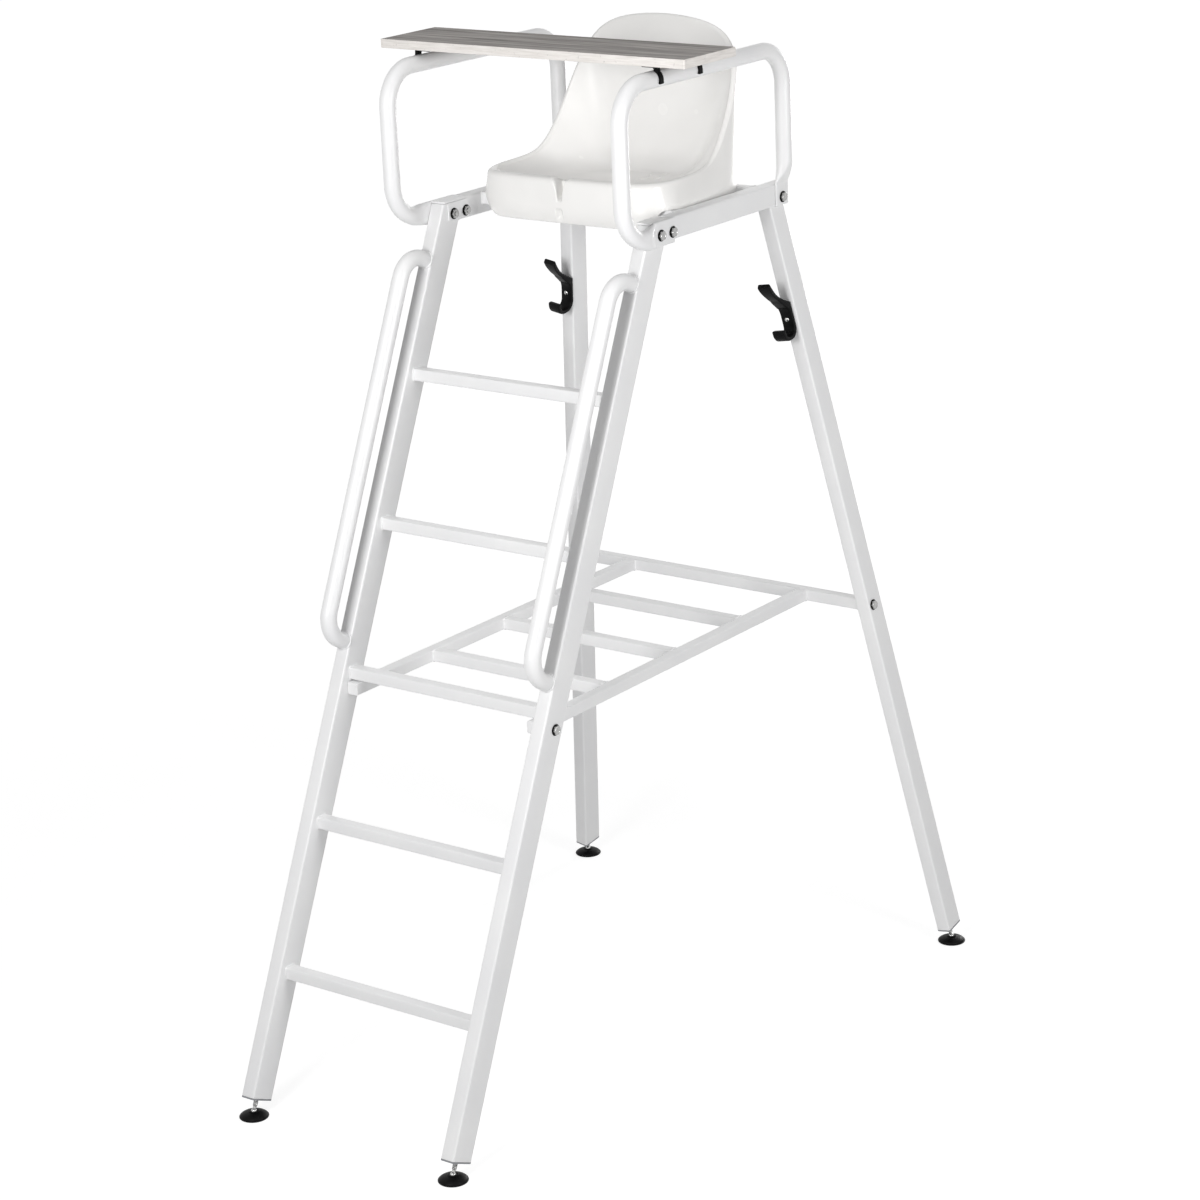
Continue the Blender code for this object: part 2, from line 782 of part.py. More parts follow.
def grooved(outline):
    """A plan outline with more points either side of its front middle, for the groove there."""
    first = outline[0]
    right = [first.lerp(outline[1], share) for share in GROOVE_COLUMNS]
    left = [first.lerp(outline[-1], share) for share in reversed(GROOVE_COLUMNS)]
    return [first] + right + outline[1:] + left


def groove_shift(point, drop):
    """How far the groove in the front lip sets the sheet back and down, at a depth below the lip."""
    if point.y > NARROWING_FROM_Y:
        return 0.0, 0.0
    along = min(drop / GROOVE_LENGTH, 1.0)
    half = (GROOVE_WIDTH + (GROOVE_FOOT - GROOVE_WIDTH) * along) / 2
    across_share = 1 - smooth(abs(point.x) / (half * 1.25))
    share = across_share * (1 - smooth(along))
    return GROOVE_DEPTH * share, GROOVE_DIP * share


def make_seat():
    """Moulded bucket: a skirt up to a rolled rim, then down into the dished pan, as one thick sheet."""
    count = SEAT_SEGMENTS
    half = SEAT_WIDTH / 2
    base = FRAME_TOP - CROSS_RAIL_DROP + SEAT_GAP
    foot = grooved(super_outline(half, SEAT_FRONT_Y, SEAT_REAR_Y, FOOT_BLUNTNESS, count))
    rim_half = half - SEAT_TAPER / 2
    rim_rear = SEAT_REAR_Y + SEAT_RAKE
    top = grooved(super_outline(rim_half, SEAT_FRONT_Y, rim_rear, TOP_BLUNTNESS, count))
    count = len(top)
    centre = Vector((0.0, (SEAT_FRONT_Y + SEAT_REAR_Y) / 2))

    def ramp(y):
        """Distance behind the foot of the back, easing in from zero."""
        past = y - BACK_RISE_Y
        return (past + hypot(past, BACK_RISE_SOFTNESS)) / 2

    def rim_height(point):
        rise = (ramp(point.y) / ramp(rim_rear)) ** BACK_RISE_POWER
        arch = SEAT_ARCH * (abs(point.x) / rim_half) ** 2
        return FRAME_TOP + SEAT_LIP + (SEAT_BACK - SEAT_LIP - arch) * rise

    def foot_height(y):
        return base - APRON_DROP * smooth((APRON_BLEND_Y - y) / (APRON_BLEND_Y - APRON_FULL_Y))

    pan = FRAME_TOP + SEAT_LIP - SEAT_DISH
    roll_steps = 4
    inner_steps = 6
    skirt = ((0.0, 0.0), (0.0, 0.2), (0.45, 0.55), (0.78, 0.82))
    rolled = len(skirt)
    rings = [[] for _ in range(rolled + roll_steps + 1 + inner_steps)]
    for low, high in zip(foot, top):
        crest = rim_height(high)
        inward = (centre - high).normalized()
        floor = foot_height(low.y)
        front_share = 1 - smooth((high.y - SEAT_FRONT_Y) / LIP_REACH)
        roll = SEAT_RIM + (SEAT_LIP_ROLL - SEAT_RIM) * front_share
        shoulder = crest - roll
        for row, (inset, rise) in enumerate(skirt):
            flat = low.lerp(high, inset)
            z = floor + (shoulder - floor) * rise
            back, _ = groove_shift(flat, crest - z)
            rings[row].append((flat.x, flat.y + back, z))
        back, dip = groove_shift(high, 0.0)
        for step in range(roll_steps + 1):
            turn = pi * step / roll_steps
            flat = high + inward * (roll * (1 - cos(turn)))
            rings[rolled + step].append((flat.x, flat.y + back, shoulder + roll * sin(turn) - dip))
        edge = high + inward * (2 * roll)
        for step in range(1, inner_steps + 1):
            share = 0.9 * (step / inner_steps) ** 1.3
            flat = edge.lerp(centre, share)
            fall = 1 - max(1 - share / DISH_REACH, 0.0) ** DISH_POWER
            fade = 0.5 if step == 1 else 0.0
            point = (flat.x, flat.y + back * fade, shoulder + (pan - shoulder) * fall - dip * fade)
            rings[rolled + roll_steps + step].append(point)
    build = bmesh.new()
    rows = [[build.verts.new(point) for point in ring] for ring in rings]
    for row, following in zip(rows, rows[1:]):
        for i in range(count):
            j = (i + 1) % count
            build.faces.new((row[i], row[j], following[j], following[i]))
    build.faces.new(rows[-1])
    bmesh.ops.triangulate(build, faces=[face for face in build.faces if len(face.verts) > 4])
    item = add_mesh("seat", mesh_from(build), finish("seat_plastic", "EDEBE7", 0.25), radians(60))
    thicken(item, SEAT_WALL)
    return item


def make_board():
    item = add_mesh("writing_board", box_mesh((BOARD_WIDTH, BOARD_DEPTH, BOARD_THICKNESS)),
                    finish("writing_board_laminate", "8E8A86", 0.5))
    item.location = (0.0, BOARD_CENTRE_Y, BOARD_BOTTOM + BOARD_THICKNESS / 2)
    bevel(item, BOARD_EDGE, 1)
    return item


def make_clip(name, side, y):
    """Black hook under the board: a flat foot, and a strap that wraps the outside of the tube."""
    inner = ARM_RADIUS + SEAT_GAP
    outer = inner + CLIP_STRAP
    top = ARM_RADIUS + CLIP_PAD
    end = -CLIP_WRAP
    outline = [(-CLIP_FLANGE, top), (outer * 0.62, top)]
    outline += arc((0, 0), outer, radians(48), end, 7)
    tip = CLIP_STRAP * 0.7
    middle = (inner + outer) / 2
    centre = (middle * cos(end), middle * sin(end))
    outline += arc(centre, tip, end + 0.35 * pi, end - 1.35 * pi, 7)[1:-1]
    outline = [p for p in outline if hypot(*p) >= inner - 1e-9]
    outline += arc((0, 0), inner, end, radians(100), 9)
    outline += [(-CLIP_FLANGE, inner + 0.001)]
    mesh = flat_outline(name, outline, CLIP_WIDTH)
    item = add_mesh(name, mesh, black_plastic(name))
    upright = Matrix.Rotation(pi / 2, 4, "X")
    if side < 0:
        upright = Matrix.Rotation(pi, 4, "Z") @ upright
    item.matrix_world = Matrix.Translation((side * ARM_X, y, ARM_TOP)) @ upright
    return item


def strip(path, widths, thicknesses, corner):
    """Rings round a path in the XY plane: chamfered rectangles, as wide in Z as the path's widths."""
    rings = []
    for i, (x, y) in enumerate(path):
        before = path[max(i - 1, 0)]
        after = path[min(i + 1, len(path) - 1)]
        run = hypot(after[0] - before[0], after[1] - before[1])
        normal = (-(after[1] - before[1]) / run, (after[0] - before[0]) / run)
        side = widths[i] / 2
        half = thicknesses[i] / 2
        section = [(half, side - corner), (half - corner, side)]
        section += [(corner - half, side), (-half, side - corner)]
        section += [(-u, -v) for u, v in section]
        rings.append([(x + normal[0] * u, y + normal[1] * u, v) for u, v in section])
    return rings


def quadratic(start, control, end, steps):
    """Points of a quadratic curve, without its first point."""
    points = []
    for i in range(1, steps + 1):
        t = i / steps
        u = 1 - t
        points.append((u * u * start[0] + 2 * u * t * control[0] + t * t * end[0],
                       u * u * start[1] + 2 * u * t * control[1] + t * t * end[1]))
    return points


def make_hook(name, line, screw_hole):
    """Double bag hook: flat body on the leg, a lower prong that curls up and a longer upper prong."""
    half = HOOK_THICKNESS / 2
    lower_tip = (HOOK_LOWER_REACH, HOOK_LOWER_RISE)
    start = (half, HOOK_LOWER_RISE)
    bend_from = (half, HOOK_BODY)
    upper_tip = (HOOK_UPPER_REACH, HOOK_BODY + HOOK_UPPER_RISE)
    steps = 5
    path = [lower_tip]
    path += quadratic(lower_tip, (HOOK_LOWER_REACH * 0.9, half), (HOOK_LOWER_REACH * 0.5, half), steps)
    path += quadratic(path[-1], (half, half), start, steps)
    path.append((half, HOOK_BODY - HOOK_THICKNESS))
    path.append(bend_from)
    lean = (HOOK_UPPER_REACH * 0.74, HOOK_BODY + HOOK_UPPER_RISE * 0.37)
    path += quadratic(bend_from, lean, upper_tip, steps)
    swell = HOOK_TIP_THICKNESS - HOOK_THICKNESS
    widths = []
    thicknesses = []
    for i in range(2 * steps + 1):
        body = smooth(i / steps)
        widths.append(HOOK_TIP_WIDTH + (HOOK_WIDTH - HOOK_TIP_WIDTH) * body)
        thicknesses.append(HOOK_THICKNESS + swell * (1 - body))
    widths += [HOOK_WIDTH, HOOK_WIDTH]
    thicknesses += [HOOK_THICKNESS, HOOK_SHOULDER_THICKNESS]
    for i in range(1, steps + 1):
        neck = 1 - abs(2 * i / steps - 1)
        wide = HOOK_WIDTH + (HOOK_TIP_WIDTH - HOOK_WIDTH) * i / steps
        widths.append(wide + (HOOK_NECK_WIDTH - wide) * smooth(neck))
        thicknesses.append(HOOK_THICKNESS + swell * smooth(i / steps))
    item = add_mesh(name, loft(strip(path, widths, thicknesses, HOOK_CORNER)), black_plastic(name))
    face = -line.depth / 2 - SEAT_GAP
    along = line.length - HOOK_FROM_TOP
    place = (inward(line) * HOOK_INSET, face, along)
    turn = axes_at(place, Vector((0, -1, 0)), Vector((0, 0, 1)), Vector((-1, 0, 0)))
    item.matrix_world = line.matrix @ turn
    cut(item, screw_hole)
    return item


def inward(line):
    """Sign of the leg's own x direction that points to the middle of the chair."""
    return -1 if line.ball.x > 0 else 1


def screw_place(line):
    """Placing matrix of a hook's screw: origin on the hook's face, Z out of it."""
    face = -line.depth / 2 - SEAT_GAP - HOOK_THICKNESS
    along = line.length - HOOK_FROM_TOP + HOOK_SCREW_ALONG
    place = (inward(line) * HOOK_INSET, face, along)
    turn = axes_at(place, Vector((1, 0, 0)), Vector((0, 0, 1)), Vector((0, -1, 0)))
    return line.matrix @ turn


def make_hook_screw(name, place):
    """Dome-headed screw through the hook into the leg's wall."""
    base = SEAT_GAP
    tip = -(HOOK_THICKNESS + SEAT_GAP + LEG_WALL + 0.004)
    dome = []
    for i in range(4):
        turn = i * pi / 6
        dome.append((SCREW_HEAD_RADIUS * sin(turn), base + SCREW_HEAD * cos(turn)))
    dome[0] = (0.0, base + SCREW_HEAD)
    profile = dome + [(SCREW_RADIUS, base), (SCREW_RADIUS, tip), (0.0, tip)]
    item = turned(name, profile, bright_steel(name))
    item.matrix_world = place
    return item


def shelf_ends():
    """Front end of the shelf's bars and the line of its rear bar, both from the legs that carry them."""
    front = front_leg_line(1).at_height(SHELF_HEIGHT).y - SHELF_BAR_REACH
    rear = rear_leg_line(1).at_height(SHELF_HEIGHT).y - SHELF_REAR_OFFSET
    return front, rear


def make_shelf(rear_envelopes, front_holes):
    """Luggage shelf of square tube between the legs."""
    bar_x = INNER_X - SEAT_GAP - SHELF_TUBE / 2
    front_y, rear_y = shelf_ends()
    back = rear_y - SHELF_TUBE / 2 - SEAT_GAP
    length = back - front_y
    for word, side in HINGE_SIDES:
        place = Matrix.Translation((side * bar_x, front_y + length / 2, SHELF_HEIGHT)) @ ALONG_Y
        make_square_bar("shelf_bar_" + word, place, length, SHELF_TUBE, SHELF_WALL, [front_holes[side]])
    reach = 2 * (bar_x - SHELF_TUBE / 2 - SEAT_GAP)
    first = front_y + SHELF_FIRST_CROSS
    for index in range(SHELF_CROSS_COUNT):
        y = first + (rear_y - first) * index / SHELF_CROSS_COUNT
        place = Matrix.Translation((0, y, SHELF_HEIGHT)) @ ALONG_X
        make_square_bar(f"shelf_cross_{index + 1}", place, reach, SHELF_TUBE, SHELF_WALL)
    place = Matrix.Translation((0, rear_y, SHELF_HEIGHT)) @ ALONG_X
    span = 2 * rear_leg_line(1).at_height(SHELF_HEIGHT).x
    tools = list(rear_envelopes.values())
    make_square_bar("shelf_rear_bar", place, span - LEG_WIDTH / 2, SHELF_TUBE, SHELF_WALL, tools)


def across(side, y, z):
    """Placing matrix on the outer face of the seat frame's side, Z pointing out."""
    return Matrix.Translation((side * OUTER_X, y, z)) @ facing(side)


def shelf_front_place(side):
    front_y, _ = shelf_ends()
    return across(side, front_y + SHELF_BOLT_INSET, SHELF_HEIGHT)


def shelf_rear_place(side):
    """On the outer face of a rear leg, in line with the shelf's rear bar."""
    line = rear_leg_line(side)
    _, rear_y = shelf_ends()
    on_axis = line.at_height(SHELF_HEIGHT)
    drop = line.y * ((rear_y - on_axis.y) / line.y.y)
    point = on_axis + drop + line.x * (side * LEG_WIDTH / 2)
    out = line.x * side
    return axes_at(point, line.z.cross(out), line.z, out)


def make_side(word, side):
    """Everything that the two halves of the chair have alike."""
    front = front_leg_line(side)
    rear = rear_leg_line(side)
    front_envelope = leg_envelope(f"front_leg_space_{word}", front)
    rear_envelope = leg_envelope(f"rear_leg_space_{word}", rear)

    first = across(side, FRONT_BOLT_Y, BOLT_Z)
    second = across(side, FRONT_BOLT_Y + BOLT_PITCH, BOLT_Z)
    last = across(side, ARM_REAR_Y, BOLT_Z)
    drill = 4 * LEG_WIDTH
    first_hole = bolt_hole(f"front_bolt_hole_1_{word}", first, drill)
    second_hole = bolt_hole(f"front_bolt_hole_2_{word}", second, drill)
    last_hole = bolt_hole(f"rear_bolt_hole_{word}", last, drill)
    shelf_grip = LEG_WIDTH + SEAT_GAP + SHELF_TUBE / 2
    shelf_drill = 2 * (shelf_grip + HOLE_GAP)
    shelf_front_hole = bolt_hole(f"shelf_front_hole_{word}", shelf_front_place(side), shelf_drill)
    shelf_rear_hole = bolt_hole(f"shelf_rear_hole_{word}", shelf_rear_place(side), drill)
    screw_at = screw_place(rear)
    screw_hole = hole(f"hook_screw_hole_{word}", screw_at, SCREW_RADIUS + HOLE_GAP, rear.depth)

    make_leg(f"front_leg_{word}", front, FRAME_TOP, (first_hole, shelf_front_hole))
    make_leg(f"rear_leg_{word}", rear, RAIL_BOTTOM - SEAT_GAP, (shelf_rear_hole, screw_hole))
    for end, line in (("front", front), ("rear", rear)):
        make_end_cap(f"leg_cap_{end}_{word}", line)
        make_spindle(f"foot_spindle_{end}_{word}", line)
        make_pad(f"foot_pad_{end}_{word}", line)
    make_side_rail(f"seat_side_rail_{word}", side, front_envelope, (second_hole, last_hole))
    make_joint_plate(f"joint_plate_{word}", side, (first_hole, second_hole))
    make_handrail(f"handrail_{word}", front)
    make_armrest(f"armrest_{word}", side, (first_hole, second_hole, last_hole))

    tab = SEAT_GAP + TAB_THICKNESS
    plate = SEAT_GAP + PLATE_THICKNESS
    for name, place, grip in ((f"front_bolt_1_{word}", first, LEG_WIDTH + tab + plate),
                              (f"front_bolt_2_{word}", second, LEG_WIDTH + tab + plate),
                              (f"rear_bolt_{word}", last, LEG_WIDTH + tab)):
        make_bolt(name, place @ Matrix.Translation((0, 0, tab)), grip)
    make_bolt(f"shelf_front_bolt_{word}", shelf_front_place(side), shelf_grip, nut=False)
    make_bolt(f"shelf_rear_bolt_{word}", shelf_rear_place(side), LEG_WIDTH + SHELF_BOLT_REACH, nut=False)

    make_hook(f"hook_{word}", rear, screw_hole)
    make_hook_screw(f"hook_screw_{word}", screw_at)
    for end, sign in (("front", -1), ("rear", 1)):
        y = BOARD_CENTRE_Y + sign * (BOARD_DEPTH / 2 - CLIP_INSET)
        make_clip(f"board_clip_{end}_{word}", side, y)
    return rear_envelope, shelf_front_hole


clear_scene()
CHAIR = collection("umpire_chair")
CUTTERS = collection("cutters")
rear_envelopes = {}
front_holes = {}
for word, side in HINGE_SIDES:
    rear_envelopes[side], front_holes[side] = make_side(word, side)
make_rungs()
make_cross_rails()
make_shelf(rear_envelopes, front_holes)
make_seat()
make_board()
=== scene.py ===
from math import atan2, cos, exp, hypot, pi, radians, sin, sqrt

import bmesh
import bpy
from mathutils import Matrix, Vector


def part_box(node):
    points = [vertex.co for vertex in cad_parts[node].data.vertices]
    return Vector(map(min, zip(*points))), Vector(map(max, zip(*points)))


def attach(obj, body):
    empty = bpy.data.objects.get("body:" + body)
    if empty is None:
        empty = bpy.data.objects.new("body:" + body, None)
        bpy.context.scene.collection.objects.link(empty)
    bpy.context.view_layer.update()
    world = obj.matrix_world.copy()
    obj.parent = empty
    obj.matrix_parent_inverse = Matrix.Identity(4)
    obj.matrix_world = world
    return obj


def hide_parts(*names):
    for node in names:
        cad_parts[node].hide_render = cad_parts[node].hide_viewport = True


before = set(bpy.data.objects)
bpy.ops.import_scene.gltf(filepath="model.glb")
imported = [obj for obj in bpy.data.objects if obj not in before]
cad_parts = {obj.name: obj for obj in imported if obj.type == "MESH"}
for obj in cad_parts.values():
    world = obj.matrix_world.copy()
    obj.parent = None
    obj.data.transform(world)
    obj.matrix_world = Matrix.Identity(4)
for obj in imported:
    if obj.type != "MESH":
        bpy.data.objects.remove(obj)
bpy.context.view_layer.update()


# Studio: a white sweep in a white room. A soft lamp in front, a little to the right, is the key; a far wall
# of light, a side lamp, a ceiling and two lamps behind fill in. The camera stands in front to the right.
def srgb(code):
    """Linear RGBA of a six-figure sRGB hex code."""
    channels = [int(code[i:i + 2], 16) / 255 for i in (0, 2, 4)]
    linear = [c / 12.92 if c <= 0.04045 else ((c + 0.055) / 1.055) ** 2.4 for c in channels]
    return (*linear, 1.0)


def add_node(tree, kind, attributes=None, values=None, links=None):
    """One node with its settings, its socket values and what feeds its sockets."""
    node = tree.nodes.new(kind)
    for key, value in (attributes or {}).items():
        setattr(node, key, value)
    for key, value in (values or {}).items():
        node.inputs[key].default_value = value
    for key, socket in (links or {}).items():
        tree.links.new(socket, node.inputs[key])
    return node


def arithmetic(operation, *terms):
    """Result of one step of arithmetic on sockets and plain numbers, a socket first."""
    tree = terms[0].id_data
    node = add_node(tree, "ShaderNodeMath", {"operation": operation})
    for index, term in enumerate(terms):
        if isinstance(term, float):
            node.inputs[index].default_value = term
        else:
            tree.links.new(term, node.inputs[index])
    return node.outputs[0]


def spread(value, low, high, start=0.0, end=1.0):
    """A value mapped from one range to another."""
    ranges = {"From Min": start, "From Max": end, "To Min": low, "To Max": high}
    return add_node(value.id_data, "ShaderNodeMapRange", values=ranges, links={"Value": value}).outputs[0]


def cleared(owner):
    """The emptied node tree of a world or a material."""
    owner.use_nodes = True
    owner.node_tree.nodes.clear()
    return owner.node_tree


def show(item):
    """The item, put into the scene."""
    bpy.context.scene.collection.objects.link(item)
    return item


def seen_ray(tree):
    """1 on rays that the camera, a mirror or a glass sends, 0 on the rest."""
    rays = add_node(tree, "ShaderNodeLightPath").outputs
    shiny = arithmetic("MAXIMUM", rays["Is Glossy Ray"], rays["Is Transmission Ray"])
    return arithmetic("MAXIMUM", rays["Is Camera Ray"], shiny)


bpy.context.scene.view_settings.view_transform = "Standard"

ROOM_LIGHT = 0.25
WHITE = srgb("FFFFFF")
world = bpy.data.worlds.new("white_room")
tree = cleared(world)
room = add_node(tree, "ShaderNodeBackground", values={"Color": WHITE},
                links={"Strength": spread(seen_ray(tree), ROOM_LIGHT, 1.0)})
add_node(tree, "ShaderNodeOutputWorld", links={"Surface": room.outputs[0]})
bpy.context.scene.world = world

FLOOR_HALF = 40.0
FLOOR_DROP = 0.0003
FLOOR_CORNERS = ((-1, -1), (1, -1), (1, 1), (-1, 1))
NEAR_GLOW = 0.80
FAR_GLOW = 0.95
GLOW_FROM = 1.2
GLOW_TO = 6.0
floor_mesh = bpy.data.meshes.new("floor")
floor_mesh.from_pydata([(x * FLOOR_HALF, y * FLOOR_HALF, -FLOOR_DROP) for x, y in FLOOR_CORNERS], [],
                       [(0, 1, 2, 3)])
# Backdrop paper: matt, and where it is seen it glows, more so further off, so that only shadows tint it
floor_paper = bpy.data.materials.new("matt_white_backdrop_paper")
tree = cleared(floor_paper)
bare_paper = add_node(tree, "ShaderNodeBsdfDiffuse", values={"Color": srgb("E6E6E6")})
lit_paper = add_node(tree, "ShaderNodeBsdfDiffuse", values={"Color": srgb("9C9C9C")})
place = add_node(tree, "ShaderNodeTexCoord").outputs["Object"]
distance = add_node(tree, "ShaderNodeVectorMath", {"operation": "LENGTH"}, links={0: place}).outputs["Value"]
glow = add_node(tree, "ShaderNodeEmission", values={"Color": WHITE},
                links={"Strength": spread(distance, NEAR_GLOW, FAR_GLOW, GLOW_FROM, GLOW_TO)})
white_paper = add_node(tree, "ShaderNodeAddShader", links={0: lit_paper.outputs[0], 1: glow.outputs[0]})
paper = add_node(tree, "ShaderNodeMixShader",
                 links={0: seen_ray(tree), 1: bare_paper.outputs[0], 2: white_paper.outputs[0]})
add_node(tree, "ShaderNodeOutputMaterial", links={"Surface": paper.outputs[0]})
floor_mesh.materials.append(floor_paper)
studio_floor = show(bpy.data.objects.new("studio_floor", floor_mesh))

# Each lamp's place, what it faces, its width, height and watts
LAMPS = {
    "front_softbox": ((0.35, -2.6, 2.2), (0.1, 0.0, 2.0), 0.7, 1.0, 47.0),
    "front_wall": ((0.2, -9.0, 2.0), (0.0, 0.0, 1.4), 3.0, 3.0, 46.0),
    "side_softbox": ((3.0, -0.35, 1.95), (0.0, 0.0, 1.8), 0.9, 1.2, 40.0),
    "ceiling_softbox": ((0.0, 0.2, 5.0), (0.0, 0.0, 1.0), 2.6, 2.6, 20.0),
    "rear_softbox": ((-2.4, 5.6, 3.4), (0.0, 0.0, 1.4), 6.0, 2.6, 20.0),
    "back_softbox": ((-0.1, 5.2, 1.5), (0.0, 0.0, 1.2), 1.0, 1.2, 62.0),
}
for name, (spot, target, width, height, power) in LAMPS.items():
    lamp = bpy.data.lights.new(name, "AREA")
    lamp.shape = "RECTANGLE"
    lamp.size = width
    lamp.size_y = height
    lamp.energy = power
    lamp_item = show(bpy.data.objects.new(name, lamp))
    lamp_item.location = spot
    lamp_item.rotation_euler = (Vector(target) - Vector(spot)).to_track_quat("-Z", "Y").to_euler()

VIEW_PLACE = (3.8997, -5.0624, 2.9745)
VIEW_YAW = radians(36.788)
VIEW_PITCH = radians(17.847)
VIEW_ROLL = radians(-2.329)
FOCAL_PIXELS = 3283.36
PICTURE_WIDTH = 1200
SENSOR = 36.0
camera = bpy.data.cameras.new("view")
camera.sensor_width = SENSOR
camera.lens = FOCAL_PIXELS / PICTURE_WIDTH * SENSOR
camera_item = show(bpy.data.objects.new("view", camera))
view = Matrix.Translation(VIEW_PLACE)
for angle, axis in ((VIEW_YAW, "Z"), (pi / 2 - VIEW_PITCH, "X"), (VIEW_ROLL, "Z")):
    view @= Matrix.Rotation(angle, 4, axis)
camera_item.matrix_world = view
bpy.context.scene.camera = camera_item


# Ladder legs: two 32 x 60 mm steel tubes that lean back to the seat frame, sawn level at the top and
# closed there with a welded plate. Everything of the frame is powder-coated white after welding.
def new_finish(name):
    """A material, and in its emptied tree the object's own coordinates in metres."""
    material = bpy.data.materials.new(name)
    return material, add_node(cleared(material), "ShaderNodeTexCoord").outputs["Object"]


def per_mm(size):
    """Pattern scale, in features a metre, for a feature of a size in millimetres."""
    return 1000.0 / size


def noise(place, scale, detail, roughness=0.5, distortion=0.0):
    """Noise over the object, from 0 to 1."""
    values = {"Scale": scale, "Detail": detail, "Roughness": roughness, "Distortion": distortion}
    node = add_node(place.id_data, "ShaderNodeTexNoise", values=values, links={"Vector": place})
    return node.outputs["Fac"]


def ramp(value, dark, light, start=0.0, end=1.0):
    """A colour that goes from dark to light with a value."""
    node = add_node(value.id_data, "ShaderNodeValToRGB", links={"Fac": value})
    for stop, position, code in zip(node.color_ramp.elements, (start, end), (dark, light)):
        stop.position = position
        stop.color = srgb(code)
    return node.outputs[0]


def bump(height, strength, distance, **under):
    """A normal tilted by a height, over another normal where one is given."""
    values = {"Strength": strength, "Distance": distance}
    feeds = {"Height": height} | under
    return add_node(height.id_data, "ShaderNodeBump", values=values, links=feeds).outputs[0]


def surface(values, colour, roughness, **relief):
    """The shader of a finish: its constants, and what feeds its colour, roughness and normal."""
    feeds = {"Base Color": colour, "Roughness": roughness} | relief
    shader = add_node(colour.id_data, "ShaderNodeBsdfPrincipled", values=values, links=feeds)
    add_node(colour.id_data, "ShaderNodeOutputMaterial", links={"Surface": shader.outputs[0]})


# Polyester powder coat on steel: sprayed dry and baked, so it is satin and flows into a faint orange
# peel of about 3 mm, here drawn 5 mm wide so that it shows; the film is a little uneven in gloss.
WHITE_COAT, place = new_finish("white_polyester_powder_coat_on_steel")
patches = noise(place, per_mm(140), 3.0)
peel = noise(place, per_mm(5), 2.0)
surface({"IOR": 1.5}, ramp(patches, "E8E8E9", "EDEDED", 0.3, 0.7),
        spread(patches, 0.27, 0.40), Normal=bump(peel, 0.10, 0.0004))


def rounded_rectangle(width, depth, corner, steps=6):
    """Outline of a tube's section, anticlockwise, with arcs at its corners."""
    points = []
    for quarter, (sx, sy) in enumerate(((1, 1), (-1, 1), (-1, -1), (1, -1))):
        for step in range(steps + 1):
            angle = (quarter + step / steps) * pi / 2
            points.append((sx * (width / 2 - corner) + corner * cos(angle),
                           sy * (depth / 2 - corner) + corner * sin(angle)))
    return points


def plan_ring(width, depth, corner, height, centre=(0.0, 0.0)):
    """Rounded rectangle that lies level at a height."""
    return [(centre[0] + x, centre[1] + y, height) for x, y in rounded_rectangle(width, depth, corner)]


def loft(rings, caps=(0, -1), hollow_sided=False):
    """Mesh through rings of equal point counts, closed at the rings that caps lists. The caps of a
    hollow-sided outline are cut into triangles."""
    build = bmesh.new()
    rows = [[build.verts.new(point) for point in ring] for ring in rings]
    for row, following in zip(rows, rows[1:]):
        for i in range(len(row)):
            j = (i + 1) % len(row)
            build.faces.new((row[i], row[j], following[j], following[i]))
    ends = [build.faces.new(rows[index]) for index in caps]
    if hollow_sided:
        bmesh.ops.triangulate(build, faces=ends)
    bmesh.ops.remove_doubles(build, verts=build.verts, dist=1e-6)
    bmesh.ops.recalc_face_normals(build, faces=build.faces)
    return plain(build)


def plain(build):
    """Plain mesh of a bmesh."""
    mesh = bpy.data.meshes.new("shape")
    build.to_mesh(mesh)
    build.free()
    return mesh


def joined(meshes):
    """One mesh of several."""
    build = bmesh.new()
    for mesh in meshes:
        build.from_mesh(mesh)
        bpy.data.meshes.remove(mesh)
    return plain(build)


def moved(mesh, matrix):
    """The mesh, set in its place."""
    mesh.transform(matrix)
    return mesh


def fit(name, mesh, material, body, nodes=(), crease=radians(35)):
    """A finished piece that rides on a body and stands for the CAD nodes that it names."""
    mesh.name = name
    mesh.materials.clear()
    mesh.materials.append(material)
    mesh.shade_smooth()
    mesh.set_sharp_from_angle(angle=crease)
    item = show(bpy.data.objects.new(name, mesh))
    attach(item, body)
    if nodes:
        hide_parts(*nodes)
    return item


def coated(name, mesh, *nodes, crease=radians(35)):
    """A powder-coated piece of the frame."""
    return fit(name, mesh, WHITE_COAT, "frame", nodes, crease)


SIDES = (("left", -1), ("right", 1))
LEG_WIDTH = 0.032
LADDER_LEG_DEPTH = 0.060
LEG_CORNER = 0.004
EDGE_BREAK = 0.0006
FOOT_REACH = 0.028
BALL_HEIGHT = 0.012
LEG_X = 0.255
FOOT_Y = 0.7325
FRAME_TOP = 1.724
FRONT_TOP_Y = 0.036
TOP_PLATE = 0.004
TOP_PLATE_GAP = 0.0012
TOP_PLATE_SET_IN = 0.003
TOP_PLATE_EDGE = 0.0005
TOP_PLATE_OVERHANG = 0.0025


def tube_rings(width, depth, corner, low, high):
    """Rings of a straight tube between two end functions of its section, its end edges broken."""
    full = rounded_rectangle(width, depth, corner)
    inset = rounded_rectangle(width - 2 * EDGE_BREAK, depth - 2 * EDGE_BREAK, corner)
    return [[(x, y, low(x, y)) for x, y in inset],
            [(x, y, low(x, y) + EDGE_BREAK) for x, y in full],
            [(x, y, high(x, y) - EDGE_BREAK) for x, y in full],
            [(x, y, high(x, y)) for x, y in inset]]


def placed(origin, across, upward, along):
    """Matrix that sets a piece's own axes along three directions at a point."""
    return Matrix.Translation(origin) @ Matrix((across, upward, along)).transposed().to_4x4()


